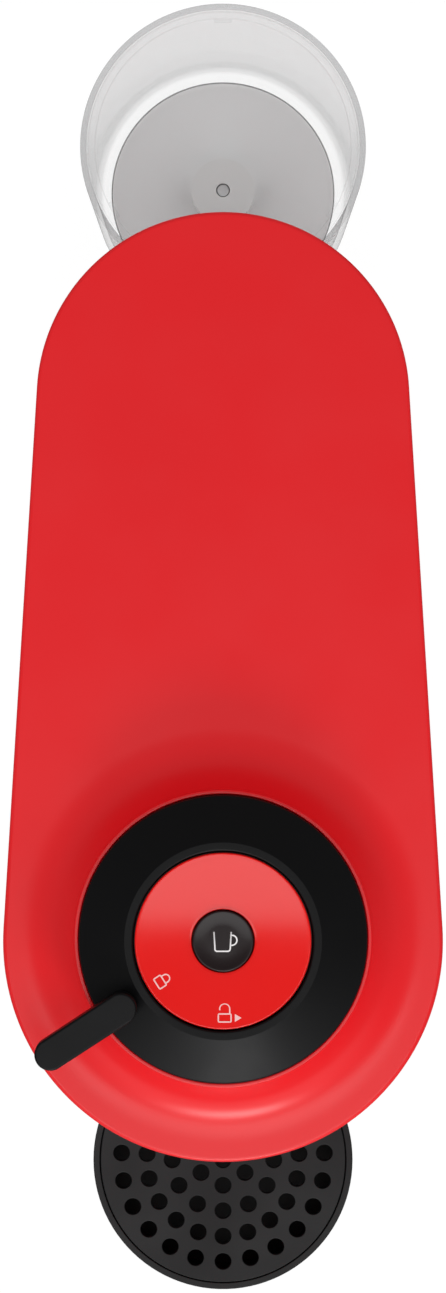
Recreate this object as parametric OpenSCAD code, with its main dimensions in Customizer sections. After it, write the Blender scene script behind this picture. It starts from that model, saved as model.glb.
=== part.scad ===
// Pod coffee machine: a spinning-drum brewer with a lift-up head, a dial lever,
// a round drip tray in front and a round water tank behind.
// Front is -Y, up is +Z, and the origin is on the table under the middle of the machine.

/* [Overall] */
// Length from the drip tray's front to the tank's rear
depth = 426; // [420:1:436]
// Height of the rubber feet
foot_h = 3; // [2:0.5:4]
// Wall of the moulded casings
wall = 2.5; // [2:0.1:2.9]
// Gap left between casings that meet
seam_gap = 0.3; // [0.2:0.05:0.4]

/* [Head] */
// Radius of the head's front end, seen from above
head_front_r = 68; // [67:0.5:70]
// Radius of the head's rear end, seen from above
head_rear_r = 57.5; // [56:0.5:59]
// Centre of the front end, from the middle of the machine
head_front_y = -81.5; // [-84:0.5:-80]
// Centre of the rear end, from the middle of the machine
head_rear_y = 86.4; // [85:0.2:87]
// Height of the seam where the head opens
seam_z = 188; // [186:0.5:190]
// Rise of the lid's rear edge above the seam
rear_rise = 23; // [22:0.5:24]
// Rise of the lid's front edge above the seam
front_rise = 33; // [30:0.5:34]
// Rise of the raised collar round the dial above the seam
collar_rise = 46; // [44:0.5:47]
// Width of the hollow skirt that runs down from the collar to the flat top
skirt_w = 18.5; // [16:0.5:19]
// Rounding of the lid's top edge
lid_edge_r = 2; // [1:0.5:2.5]

/* [Dial and lever] */
// Centre of the dial, from the middle of the machine
dial_y = -78.2; // [-80:0.2:-77]
// Outer radius of the lever ring
ring_r = 43.3; // [42:0.1:44.5]
// Radius of the lever ring's flat inner lip
lip_r = 29.5; // [28.8:0.1:30.5]
// Rise of the lip above the ring's outer edge
cone_rise = 7.6; // [6.5:0.2:8.6]
// Radius of the gloss disc
disc_r = 26.4; // [25.6:0.1:26.8]
// Radius of the brew button
button_r = 9.1; // [8:0.1:10]
// Travel of the brew button
button_travel = 1.2; // [0.8:0.1:1.4]
// Distance from the dial's centre to the lever's tip
lever_reach = 65.9; // [62:0.1:68]
// Width of the lever
lever_w = 9.5; // [8.5:0.1:11]
// Height of the lever above the lip
lever_rise = 6; // [5:0.2:7]
// Direction of the lever when the head is locked
lever_angle = 213; // [205:1:220]
// Turn of the lever from locked to unlocked
lever_swing = 57; // [50:1:60]

/* [Column] */
// Radius of the column's front
col_front_r = 50; // [49:0.5:51.5]
// Centre of the column's round front
col_front_y = -66; // [-67:0.5:-65]
// Half the width of the column's back
col_half_w = 46; // [45.5:0.5:48]
// Radius of the column's rear corners
col_corner_r = 18; // [16:0.5:20]
// Place of the column's back
col_rear_y = 110; // [109.6:0.2:110.6]
// Height of the base pan's rim
base_top = 16; // [15:0.5:17]
// Height where the column flares out into the head
flare_z = 150; // [148:0.5:151]

/* [Drip tray and capsule bin] */
// Outer radius of the drip tray
tray_r = 44.9; // [44:0.1:46]
// Height of the drip tray's rim
tray_top = 45; // [42:0.5:48]
// Thickness of the drip grid
grid_t = 3; // [2.5:0.1:4]
// Radius of the grid's holes
hole_r = 2.8; // [2.2:0.1:3.2]
// Pitch between the grid's rings of holes
ring_pitch = 8.8; // [8.4:0.1:9.1]
// Height of the capsule bin's top
bin_top = 96; // [92:0.5:96.4]

/* [Water tank] */
// Radius of the tank's rim
tank_r = 45.2; // [44:0.1:45.6]
// Radius of the tank's bottom
tank_foot_r = 44.4; // [43:0.1:44.6]
// Radius of the tank's sunk flat floor
tank_floor_r = 38.5; // [37:0.1:39]
// Rounding of the tank's lower corner
tank_corner = 4; // [3:0.5:5]
// Height of the tank's bottom
tank_z = 30; // [28:0.5:32]
// Height of the tank's rim
tank_top = 170; // [166:0.5:170.4]
// Wall of the tank
tank_wall = 2; // [1.8:0.1:2.4]

/* [Brewing] */
// Radius of the drum's rim
drum_r = 38.5; // [37.8:0.1:38.9]
// Radius of the drum's shaft
shaft_r = 4; // [3.6:0.1:4.4]
// Radius of the motor's bell
motor_r = 24; // [23:0.1:24.6]
// Centre of the coffee spout, from the middle of the machine
spout_y = -130; // [-130.5:0.5:-129]
// Outer radius of the spout
spout_r = 8; // [7:0.1:9]

/* [Hinge] */
// Place of the hinge axis along the machine
hinge_y = 122; // [121.4:0.2:122.6]
// Height of the hinge axis
hinge_z = 194; // [193.6:0.1:194.4]
// Radius of the hinge pins
pin_r = 3; // [2.6:0.1:3.4]
// Radial clearance of a turning pin or shaft
fit = 0.05; // [0.03:0.01:0.08]

/* [Water system] */
// Outer radius of the hoses
hose_r = 3; // [2.6:0.1:3.2]
// Place of the pump and the heater along the machine
works_y = 60; // [58:0.5:62]
// Distance of the pump and the heater from the middle plane
works_x = 20; // [19.6:0.1:20.4]

/* [Hidden] */
$fn = 64;
eps = 0.01;
touch = 0.05;

red = "#d8262c";
gloss_red = "#e8383c";
black = "#232325";
soft_black = "#2f2f31";
steel = "#b9bcc0";
clear = [0.85, 0.88, 0.9, 0.35];

head_line = [[0, head_front_y, head_front_r], [0, head_rear_y, head_rear_r]];
col_line = [[0, col_front_y, col_front_r],
    [col_half_w - col_corner_r, col_rear_y - col_corner_r, col_corner_r],
    [col_corner_r - col_half_w, col_rear_y - col_corner_r, col_corner_r]];
flare_line = [[0, head_front_y, head_front_r], [eps, head_rear_y, head_rear_r],
    [-eps, head_rear_y, head_rear_r]];

// Levels of the head
collar_top = seam_z + collar_rise;
lower_top = seam_z - seam_gap;
deck_t = 3;
deck_z = lower_top - deck_t;

// The lid's plan: its rake towards the sides, its ends and the dial's collar
lean = asin((head_front_r - head_rear_r) / (head_rear_y - head_front_y));
lid_front = head_front_y - head_front_r;
lid_rear = head_rear_y + head_rear_r;
collar_gap = 0.6;
collar_r = ring_r + collar_gap;
rim_r = collar_r + 0.9;
skirt_power = 2.1;
ledge_t = 2.9;

// Levels of the dial
seat_z = collar_top - 2.1;
ring_z = seat_z + seam_gap;
ring_edge = ring_z + 4.2;
lip_z = ring_edge + cone_rise;
cone_r = ring_r - 0.7;
lever_top = lip_z + lever_rise;
hub_r = disc_r + seam_gap;
hub_floor_z = seat_z - 6.9;
hub_floor_t = 3;
disc_z = lip_z - 3;
disc_t = 2.4;

// Levels of the base
floor_z = foot_h + 3;
frame_t = 2.5;
frame_top = floor_z + frame_t;
shelf_z = bin_top + 1;
shelf_t = 3;
motor_z = shelf_z + shelf_t;
bin_z = base_top + seam_gap;
bin_wall = 2.4;
bin_half = col_front_r - wall - 3;
tray_y = tray_r - depth / 2;
tank_y = depth / 2 - tank_r;
split_y = col_front_y - 4;
partition_y = -10;
tongue_half = 29;
post_r = 3;
post_ring = 34;
grid_r = tray_r - 2.5;
port_z = frame_top + 4.5;
meter_y = works_y + 30;

// Levels of the drum
plate_t = 3;
drum_top = seam_z - 2;
drum_hub_z = motor_z + 39.3;
gutter_z = drum_top - 22;
gutter_r = drum_r + 4.5;

// Normal of the straight side that joins two circles of an outline
function side_normal(a, b) =
    atan2(b.y - a.y, b.x - a.x) - acos((a.z - b.z) / norm([b.x - a.x, b.y - a.y]));

function on_circle(c, grow, angle) =
    [c.x + (c.z + grow) * cos(angle), c.y + (c.z + grow) * sin(angle)];

function mix(a, b, t) = a + (b - a) * t;

function bezier(p, t) = p[0] * pow(1 - t, 3) + p[1] * 3 * pow(1 - t, 2) * t
    + p[2] * 3 * (1 - t) * t * t + p[3] * pow(t, 3);

function unit(v) = v / norm(v);

// An outline drawn round circles [x, y, r] in anticlockwise order
module outline(circles, grow = 0) {
    last = len(circles) - 1;
    for (c = circles) translate([c.x, c.y]) circle(r = c.z + grow);
    polygon([for (i = [0:last])
        let (a = circles[i], b = circles[i == last ? 0 : i + 1], n = side_normal(a, b))
        each [on_circle(a, grow, n), on_circle(b, grow, n)]]);
}

module slab(z, h) translate([0, 0, z]) linear_extrude(h) children();

module tube(outer, inner, z, h) translate([0, 0, z]) difference() {
    cylinder(r = outer, h = h);
    translate([0, 0, -eps]) cylinder(r = inner, h = h + 2 * eps);
}

module sector(inner, outer, from, sweep, z, h) slab(z, h) intersection() {
    difference() {
        circle(r = outer);
        circle(r = inner);
    }
    polygon([[0, 0], for (i = [0:4]) 2 * outer * [cos(from + sweep * i / 4), sin(from + sweep * i / 4)]]);
}

module box(x, y, z) translate([x[0], y[0], z[0]]) cube([x[1] - x[0], y[1] - y[0], z[1] - z[0]]);

module mirrored() {
    children();
    mirror([1, 0, 0]) children();
}

module at_dial() translate([0, dial_y, 0]) children();

module at_tank() translate([0, tank_y, 0]) children();

module across(x, y, z) translate([x, y, z]) rotate([0, 90, 0]) children();

// A hose swept along a smooth curve between two ports
module hose(ends, r, normal = [1, 0, 0], steps = 18, sides = 10) {
    path = [for (i = [0:steps]) bezier(ends, i / steps)];
    tangents = [for (i = [0:steps])
        unit(path[min(i + 1, steps)] - path[max(i - 1, 0)])];
    points = [for (i = [0:steps])
        let (t = tangents[i], side = unit(normal - (normal * t) * t), up = cross(t, side))
        for (k = [0:sides - 1])
            path[i] + r * (side * cos(360 * k / sides) + up * sin(360 * k / sides))];
    polyhedron(points, [
        [for (k = [0:sides - 1]) k],
        [for (k = [0:sides - 1]) steps * sides + sides - 1 - k],
        for (i = [0:steps - 1]) for (k = [0:sides - 1])
            let (n = (k + 1) % sides)
            [i * sides + k, (i + 1) * sides + k, (i + 1) * sides + n, i * sides + n]]);
}

// A coil spring drawn as rings of wire with a stack pitch
module coil_spring(r, wire, z, h, turns) {
    for (i = [0:turns - 1])
        translate([0, 0, z + wire + (h - 2 * wire) * i / (turns - 1)])
            rotate_extrude() translate([r, 0]) circle(r = wire, $fn = 16);
    tube(r + wire / 2, r - wire / 2, z + wire, h - 2 * wire);
}

// ---- base and column ----

module base_pan() color(black) difference() {
    union() {
        slab(foot_h, base_top - foot_h) outline(col_line);
        at_tank() translate([0, 0, foot_h]) cylinder(r = tank_pad_r, h = tank_z - foot_h);
        box([-30, 30], [col_rear_y - 6, tank_y - 30], [foot_h, base_top]);
        box([-30, 30], [col_rear_y + seam_gap, tank_y - 30], [foot_h, neck_top]);
    }
    slab(floor_z, base_top) outline(col_line, -wall);
    at_tank() translate([0, 0, floor_z]) cylinder(r = tank_pad_r - wall, h = tank_z - 3 - floor_z);
    box([-27.5, 27.5], [col_rear_y - 8, tank_y - 28], [floor_z, neck_top - 2]);
    box([-tongue_half - seam_gap, tongue_half + seam_gap],
        [col_front_y - col_front_r - 5, col_front_y], [floor_z, base_top + 1]);
    at_tank() translate([0, 0, tank_z - 4]) cylinder(r = socket_r + touch, h = 5);
    for (p = foot_places) translate([p.x, p.y, foot_h - eps]) {
        cylinder(r = 1.7, h = 6);
        cylinder(r = 3.6, h = 1.6 + eps);
    }
}

foot_places = [[-33, -84], [33, -84], [-28, 84], [28, 84]];
tank_foot_places = [[-24, tank_y + 16], [24, tank_y + 16]];
socket_r = 20;
tank_pad_r = tank_foot_r - 1;
neck_top = base_top + 3;

module rubber_feet() color("#1a1a1a")
    for (p = concat(foot_places, tank_foot_places)) translate([p.x, p.y, 0])
        tube(8, 3.8, 0, foot_h);

module base_screws() color(steel) for (p = foot_places) translate([p.x, p.y, foot_h]) {
    cylinder(r = 3.4, h = 1.5);
    translate([0, 0, 1.5 - eps]) cylinder(r = 1.6, h = 4);
}

module chassis() color("#4a4c50") {
    difference() {
        union() {
            slab(floor_z, frame_t) frame_outline(partition_y);
            slab(floor_z, shelf_z - floor_z) intersection() {
                frame_outline(partition_y);
                translate([-60, partition_y]) square([120, 3]);
            }
            slab(shelf_z, shelf_t) difference() {
                frame_outline(-200);
                translate([-60, partition_y + 3]) square([120, 200]);
            }
            mirrored() {
                translate([36, 97, floor_z]) cylinder(r = 4, h = deck_z - floor_z);
                translate([42, -34, shelf_z]) cylinder(r = post_r, h = deck_z - shelf_z);
            }
        }
        box([-35, 35], [chute_low[0] - 2.4, chute_low[1] + 2.4], [shelf_z - 1, motor_z + 1]);
        for (p = foot_places) translate([p.x, p.y, floor_z - 1]) cylinder(r = 1.7, h = 5);
    }
}

module frame_outline(from) intersection() {
    outline(col_line, -wall - seam_gap);
    translate([-100, from]) square([200, 400]);
}

module column_shell() color(red) difference() {
    slab(base_top, flare_z - base_top) outline(col_line);
    slab(base_top - 1, flare_z) outline(col_line, -wall);
    box([-60, 60], [-200, split_y + seam_gap], [base_top - 1, bin_top + seam_gap]);
    box([-30, 30], [col_rear_y - 8, col_rear_y + 5], [base_top - 1, flare_z - 4]);
}

module rear_cover() color(black) difference() {
    union() {
        box([-30 + seam_gap, 30 - seam_gap], [col_rear_y - wall, col_rear_y],
            [base_top + seam_gap, flare_z - 4 - seam_gap]);
        for (x = [-24, 24]) for (z = [44, 120])
            translate([x, col_rear_y - wall + eps, z]) rotate([90, 0, 0]) cylinder(r = 2.5, h = 2.4);
    }
    for (i = [0:8]) box([-16, 16], [col_rear_y - 8, col_rear_y + 5], [58 + 7 * i, 61 + 7 * i]);
    translate([gland_x, col_rear_y + 1, gland_z]) rotate([90, 0, 0]) cylinder(r = 6.2, h = 8);
}

gland_x = -19;
gland_z = 28;

module cord_gland() color("#1c1c1c") translate([gland_x, col_rear_y + 3, gland_z]) rotate([90, 0, 0])
    difference() {
        union() {
            cylinder(r = 8, h = 3);
            cylinder(r = 6, h = 12);
            translate([0, 0, 3 + wall]) cylinder(r = 7.4, h = 3);
        }
        translate([0, 0, -1]) cylinder(r = 3.3, h = 20);
    }

// ---- lower half of the head ----

module flare_level(t, z, grow, h = 0.1) slab(z, h) intersection() {
    outline([for (i = [0:2]) mix(col_line[i], flare_line[i], t)], grow);
    translate([-100, -300]) square([200, 300 + col_rear_y + grow]);
}

module flare_form(grow) {
    low = grow < 0 ? -1 : 0;
    hull($fn = 48) {
        flare_level(0, flare_z + low, grow);
        flare_level(0.5, flare_z + 7, grow);
        flare_level(0.84, flare_z + 18, grow);
        flare_level(1, lower_top - 8, grow, 8 - low);
    }
}

module lower_head() color(red) difference() {
    flare_form(0);
    flare_form(-wall);
    translate([0, spout_y, flare_z - 10]) cylinder(r = spout_r + seam_gap, h = 40);
}

module head_deck() color(black) difference() {
    union() {
        slab(deck_z, deck_t) intersection() {
            outline(head_line, -wall - seam_gap);
            translate([-100, -300]) square([200, 300 + col_rear_y - wall - seam_gap]);
        }
        at_dial() for (k = [0:2]) {
            sector(55, 58.4, catch_angle + 120 * k, 14, lower_top - eps, 11);
            sector(51.5, 58.4, catch_angle + 120 * k, 14, lower_top + 10, 2);
        }
    }
    at_dial() translate([0, 0, deck_z - 1]) cylinder(r = drum_r + 1.2, h = deck_t + 2);
    box([-chute_half, chute_half], chute_high, [deck_z - 1, lower_top + 1]);
    box([-17, -1], [72, 102], [deck_z - 1, lower_top + 1]);
}

catch_angle = 20;
chute_half = 33;
chute_low = [-48, -12];
chute_high = [-24, 16];

module chute_form(grow) hull() {
    box([-chute_half - grow, chute_half + grow], chute_low + grow * [-1, 1],
        [motor_z + 4 - (grow > 0 ? 0 : 1), motor_z + 4.1]);
    box([-chute_half - grow, chute_half + grow], chute_high + grow * [-1, 1],
        [deck_z - 0.4, deck_z - (grow > 0 ? 0.3 : -1)]);
}

module capsule_chute() color(soft_black) difference() {
    union() {
        chute_form(1.6);
        mirrored() box([chute_half, chute_half + 1.6], [chute_low[1] - 10, chute_low[1] - 4],
            [motor_z - shelf_t, motor_z + 10]);
    }
    chute_form(0);
}

ear_r = hinge_z - lower_top - touch;

module hinge_bracket() color("#5a5c60") {
    mirrored() difference() {
        union() {
            hull() {
                across(22, hinge_y, hinge_z) cylinder(r = ear_r, h = 5);
                box([22, 27], [96, col_rear_y - wall - 1], [lower_top, lower_top + 2]);
            }
            box([18, 27], [96, col_rear_y - wall - 1], [lower_top, lower_top + 2.2]);
        }
        across(0, hinge_y, hinge_z) cylinder(r = pin_r + fit, h = 40);
    }
    difference() {
        hull() {
            across(-12.5, hinge_y, hinge_z) cylinder(r = ear_r, h = 3);
            box([-12.5, -9.5], [102, col_rear_y - wall - 1], [lower_top, lower_top + 2]);
        }
        across(-20, hinge_y, hinge_z) cylinder(r = 5 + fit, h = 20);
    }
}

module hinge_pins() color(steel) mirrored() {
    across(15.2, hinge_y, hinge_z) cylinder(r = pin_r, h = 12.3);
    across(27.3, hinge_y, hinge_z) cylinder(r = pin_r + 2, h = 1.5);
}

module water_swivel() color("#c9a24a") {
    across(-13.5, hinge_y, hinge_z) tube(5, 2, 0, 13.3);
    translate([-5, hinge_y - 4.4, hinge_z]) rotate([90, 0, 0]) cylinder(r = hose_r, h = 3);
}

// ---- brewing ----

module motor_plate() color(steel) at_dial() difference() {
    union() {
        translate([0, 0, motor_z]) cylinder(r = motor_r + 3, h = plate_t);
        for (a = [30, 150, 210, 330]) rotate(a) {
            box([0, post_ring], [-4, 4], [motor_z, motor_z + plate_t]);
            translate([post_ring, 0, motor_z]) cylinder(r = post_r, h = gutter_z - motor_z);
            translate([post_ring, 0, motor_z]) cylinder(r = 4, h = plate_t);
        }
    }
    translate([0, 0, motor_z - 1]) cylinder(r = shaft_r + 1, h = 6);
}

module motor_stator() color("#b87333") at_dial() {
    difference() {
        union() {
            translate([0, 0, motor_z + plate_t]) cylinder(r = 12, h = 3);
            translate([0, 0, motor_z + plate_t]) cylinder(r = 2 * shaft_r + 2.5, h = 30);
            for (k = [0:11]) rotate(30 * k)
                box([8, motor_r - 5.2], [-1.6, 1.6], [motor_z + 9, motor_z + 31]);
            for (k = [0:11])
                sector(motor_r - 6, motor_r - 4, 30 * k - 11, 22, motor_z + 8, 24);
        }
        translate([0, 0, motor_z]) cylinder(r = 2 * shaft_r + touch, h = 50);
    }
}

module drum_bearings() color("#8d9196") at_dial() for (z = [motor_z + plate_t + 1, motor_z + 26]) {
    tube(2 * shaft_r, 2 * shaft_r - 1.2, z, 5);
    tube(shaft_r + 1.2, shaft_r + fit, z, 5);
    tube(2 * shaft_r - 1.1, shaft_r + 1.1, z + 1, 3);
}

module motor_rotor() color("#70757b") at_dial() {
    tube(motor_r, motor_r - 1.6, motor_z + 6, 33);
    for (k = [0:13]) sector(motor_r - 3.2, motor_r - 1.5, k * 360 / 14, 22, motor_z + 8, 26);
    tube(motor_r - 1.5, shaft_r + fit, motor_z + 36.5, 2.5);
    tube(shaft_r + 3, shaft_r + fit, motor_z + 34.2, 4);
}

module drum_shaft() color(steel) at_dial() translate([0, 0, motor_z + 1])
    cylinder(r = shaft_r, h = drum_hub_z + 12 - motor_z);

module capsule_drum() color("#9ca0a5") at_dial() difference() {
    rotate_extrude() polygon(concat(
        [[shaft_r + fit, drum_hub_z], [9, drum_hub_z], [9, drum_hub_z + 12]],
        [for (i = [0:8]) let (a = 90 * i / 8)
            [9 + (drum_r - 12.5) * sin(a), drum_top - 4 - (drum_top - drum_hub_z - 17) * cos(a)]],
        [[drum_r - 3.5, drum_top - 2], [drum_r, drum_top - 2], [drum_r, drum_top],
            [drum_r - 5.5, drum_top], [drum_r - 5.5, drum_top - 4]],
        [for (i = [8:-1:0]) let (a = 90 * i / 8)
            [9 + (drum_r - 14.5) * sin(a), drum_top - 4 - (drum_top - drum_hub_z - 19) * cos(a)]],
        [[shaft_r + fit, drum_hub_z + 15]]));
    for (k = [0:5]) rotate(60 * k) box([drum_r - 2, drum_r + 3], [-3, 3], [drum_top - 5, drum_top + 1]);
}

module brew_collector() color(soft_black) {
    at_dial() difference() {
        union() {
            tube(gutter_r, post_ring - post_r + 1, gutter_z, 2);
            tube(gutter_r, gutter_r - 1.8, gutter_z, deck_z - gutter_z - seam_gap);
            tube(drum_r - 1, drum_r - 2.5, gutter_z, 16);
        }
        box([-6, 6], [-gutter_r - 5, -gutter_r + 5], [gutter_z + 2, gutter_z + 7]);
    }
    difference() {
        intersection() {
            box([-8, 8], [spout_y - 12, dial_y - gutter_r + 1], [gutter_z, gutter_z + 9]);
            flare_form(-wall - seam_gap);
        }
        box([-6, 6], [spout_y - 6, dial_y - gutter_r + 6], [gutter_z + 2, gutter_z + 7]);
        at_dial() translate([0, 0, gutter_z - 1]) cylinder(r = gutter_r - 0.5, h = 20);
        translate([0, spout_y, gutter_z - 1]) cylinder(r = spout_r - 3, h = 5);
    }
}

module coffee_spout() color(black) translate([0, spout_y, 0]) difference() {
    union() {
        translate([0, 0, flare_z - 4]) cylinder(r1 = spout_r - 1.5, r2 = spout_r, h = 4);
        translate([0, 0, flare_z - eps]) cylinder(r = spout_r, h = gutter_z - flare_z);
        intersection() {
            translate([0, 0, gutter_z - 1.6]) cylinder(r = spout_r + 1.4, h = 1.6);
            translate([0, -spout_y, 0]) flare_form(-wall - seam_gap);
        }
    }
    translate([0, 0, flare_z - 5]) cylinder(r = spout_r - 3, h = gutter_z);
}

module barcode_reader() color("#1f6b3a") at_dial() rotate(160) {
    box([46, 57], [-7, 7], [deck_z - 1.6, deck_z]);
    box([47, 53], [-4, 4], [deck_z - 8, deck_z - 1.6]);
}

// ---- water system ----

module heater_block() color("#c3c6c9") translate([-works_x, works_y, 0]) {
    rotate_extrude() polygon(concat([[0, 22], [16, 22]],
        [for (i = [0:10]) each [[16, 24 + 8 * i], [18.6, 25 + 8 * i], [18.6, 28 + 8 * i], [16, 29 + 8 * i]]],
        [[16, 112], [0, 112]]));
    for (y = [-9, 9]) translate([0, y, frame_top]) cylinder(r = 3, h = 22 - frame_top + eps);
    for (y = [0, 10]) translate([0, y, 112 - eps]) cylinder(r = hose_r, h = 8);
    for (x = [-11, 11]) translate([x, -5, 112 - eps]) cylinder(r = 3, h = 4);
}

module pump_mounts() color("#262626") translate([works_x, works_y, 0]) for (x = [-12, 12])
    box([x - 3, x + 3], [-7, 7], [frame_top, 36]);

module pump_frame() color(steel) translate([works_x, works_y, 0]) difference() {
    box([-18, 18], [-18, 18], [36, 80]);
    box([-16.4, 16.4], [-20, 20], [37.6, 78.4]);
    translate([0, 0, 30]) cylinder(r = 9 + 0.2, h = 60);
}

module pump_coil() color("#a4561f") translate([works_x, works_y, 0]) {
    tube(15.6, 9.2, 40, 36);
    for (z = [37.6, 76]) tube(16.2, 9.2, z, 2.4);
}

module pump_body() color("#d9d6cd") translate([works_x, works_y, 0]) difference() {
    union() {
        translate([0, 0, 25]) cylinder(r = hose_r, h = 6);
        translate([0, 0, 31 - eps]) cylinder(r = 9, h = 75);
        translate([0, 0, 81]) cylinder(r = 12, h = 4);
        translate([0, 0, 106 - 2 * eps]) cylinder(r = 6, h = 6);
        translate([0, 0, 112 - 3 * eps]) cylinder(r = hose_r, h = 8);
    }
    translate([0, 0, 40]) cylinder(r = 5.6, h = 64);
    translate([0, 0, 24]) cylinder(r = 1.6, h = 98);
}

module pump_piston() color(steel) translate([works_x, works_y, 0]) tube(5.55, 2, 44.3, 30);

module pump_spring() color("#8f9398") translate([works_x, works_y, 0]) coil_spring(4.4, 0.5, 74.6, 28, 7);

module flow_meter() color("#e8e5dc") translate([0, meter_y, 0]) difference() {
    union() {
        translate([0, 0, frame_top]) cylinder(r = 13, h = 11.5);
        translate([0, 16, port_z]) rotate([90, 0, 0]) cylinder(r = hose_r, h = 6);
        translate([0, 0, frame_top + 11.5 - eps]) cylinder(r = hose_r, h = 3);
    }
    difference() {
        translate([0, 0, frame_top + 1.5]) cylinder(r = 10.5, h = 8);
        translate([0, 0, frame_top]) cylinder(r = 1.2, h = 9.6);
    }
}

module flow_impeller() color("#d6412f") translate([0, meter_y, frame_top + 2]) difference() {
    union() {
        cylinder(r = 3, h = 7);
        for (k = [0:5]) rotate(60 * k) translate([0, -0.6, 0]) cube([9.6, 1.2, 7]);
    }
    translate([0, 0, -1]) cylinder(r = 1.2 + fit, h = 9);
}

module control_board() color("#23613a") {
    board_y = col_rear_y - wall - 2.4 - 1.7;
    box([-29, 29], [board_y, board_y + 1.6], [38, 126]);
    box([-24, -6], [board_y - 10, board_y + eps], [46, 62]);
    box([2, 22], [board_y - 6, board_y + eps], [70, 86]);
    for (x = [-20, -8, 4]) translate([x, board_y + eps, 108]) rotate([90, 0, 0]) cylinder(r = 4.5, h = 9);
}

module tank_socket() color(soft_black) at_tank() difference() {
    union() {
        tube(socket_r, socket_r - 3, tank_z - 7, 7);
        translate([0, 0, tank_z - 7]) cylinder(r = socket_r - 2, h = 1.6);
        translate([0, 0, tank_z - 6]) cylinder(r = 1.4, h = 3.5);
        translate([0, 0, port_z - 5]) cylinder(r = 6, h = tank_z - 7 - port_z + 5 + eps);
        translate([0, -5, port_z]) rotate([90, 0, 0]) cylinder(r = hose_r, h = 9);
    }
    for (x = [-3.4, 3.4]) translate([x, 0, port_z]) cylinder(r = 1.6, h = 30);
}

module tank_hose() color("#c9ccce") translate([0, tank_y - 14.3, port_z]) rotate([90, 0, 0])
    difference() {
        cylinder(r = hose_r, h = tank_y - meter_y - 30.6);
        translate([0, 0, -1]) cylinder(r = hose_r - 1.2, h = tank_y);
    }

module suction_hose() color("#c9ccce")
    hose([[0, meter_y, frame_top + 14.8], [0, meter_y, frame_top + 36],
        [works_x, works_y, 0], [works_x, works_y, 24.7]], hose_r, [meter_y - works_y, works_x, 0]);

module pressure_hose() color("#c9ccce") translate([0, works_y, 120.3]) rotate([90, 0, 0])
    rotate_extrude(angle = 180) translate([works_x, 0]) circle(r = hose_r);

module hot_water_hose() color("#c9ccce")
    hose([[-works_x, works_y + 10, 120.3], [-works_x, works_y + 10, 172],
        [-5, hinge_y - 36, hinge_z], [-5, hinge_y - 7.7, hinge_z]], hose_r);

// ---- drip tray and capsule bin ----

module drip_bowl() color(black) difference() {
    union() {
        translate([0, tray_y, foot_h + 1]) cylinder(r = tray_r, h = tray_top - foot_h - 1);
        box([-tongue_half, tongue_half], [tray_y + 30, partition_y - 12], [base_top - 4, bin_z]);
        mirrored() box([tongue_half - 5, tongue_half], [tray_y + 30, partition_y - 12],
            [floor_z + seam_gap, base_top - 3]);
        box([-tongue_half, tongue_half], [tray_y + 30, col_front_y - col_front_r - seam_gap],
            [floor_z + seam_gap, bin_z]);
    }
    translate([0, tray_y, foot_h + 4]) cylinder(r = tray_r - 3.7, h = tray_top);
    translate([0, tray_y, tray_top - grid_t]) cylinder(r = grid_r + seam_gap, h = 10);
}

// A drawer whose round front is flush with the column
module capsule_bin() color(black) difference() {
    slab(bin_z, bin_top - bin_z) bin_outline(0);
    slab(bin_z + bin_wall, bin_top) bin_outline(bin_wall);
}

module bin_outline(inset) {
    intersection() {
        translate([0, col_front_y]) circle(r = col_front_r - inset);
        translate([-100, -300]) square([200, 300 + split_y - inset]);
    }
    translate([inset - bin_half, split_y - inset - 10])
        square([2 * (bin_half - inset), partition_y - 2.4 - split_y + 10]);
}

module drip_grid() color(soft_black) translate([0, tray_y, tray_top - grid_t]) difference() {
    cylinder(r = grid_r, h = grid_t);
    translate([0, 0, -1]) cylinder(r = hole_r, h = grid_t + 2);
    for (ring = [[1, 6], [2, 12], [3, 19], [4, 23]]) for (k = [0:ring[1] - 1])
        rotate(-90 + 360 * k / ring[1]) translate([ring[0] * ring_pitch, 0, -1])
            cylinder(r = hole_r, h = grid_t + 2, $fn = 32);
}

// ---- water tank ----

tank_floor_z = tank_z + 3;
tank_shelf_z = tank_floor_z + 0.6;
tank_fillet = tank_foot_r - tank_wall - tank_floor_r - 0.5;

function tank_at(z) = mix(tank_foot_r, tank_r, (z - tank_z) / (tank_top - tank_z));

module water_tank() color(clear) at_tank() difference() {
    union() {
        rotate_extrude() polygon(concat([[0, tank_z]],
            [for (a = [-90:18:0]) [tank_foot_r, tank_z + tank_corner] + tank_corner * [cos(a) - 1, sin(a)]],
            [[tank_r, tank_top], [tank_r - tank_wall, tank_top]],
            [for (a = [0:-18:-90]) [tank_foot_r - tank_wall, tank_shelf_z + tank_fillet]
                + tank_fillet * [cos(a) - 1, sin(a)]],
            [[tank_floor_r + 0.4, tank_shelf_z], [tank_floor_r, tank_floor_z], [0, tank_floor_z]]));
        intersection() {
            for (a = [90, 210, 330])
                sector(tank_r - 5, tank_r, a - 6, 12, tank_top - 5, 2);
            cylinder(r = tank_at(tank_top - 5) - tank_wall / 2, h = 200);
        }
        translate([0, 0, tank_z - 4]) cylinder(r = 8.2, h = 5);
    }
    translate([0, 0, tank_z - 5]) cylinder(r = 5, h = 10);
}

module tank_lid() color(clear) at_tank() rotate_extrude() polygon([[0, tank_top - 3],
    [tank_r - tank_wall - seam_gap - 0.2, tank_top - 3], [tank_r - tank_wall - seam_gap, tank_top],
    [tank_r - tank_wall - 2.2, tank_top], [tank_r - tank_wall - 2.6, tank_top - 1.4],
    [0, tank_top - 1.4]]);

module tank_seal() color("#333333") at_tank() tube(10.2, 8.25, tank_z - 3, 2.8);

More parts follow.
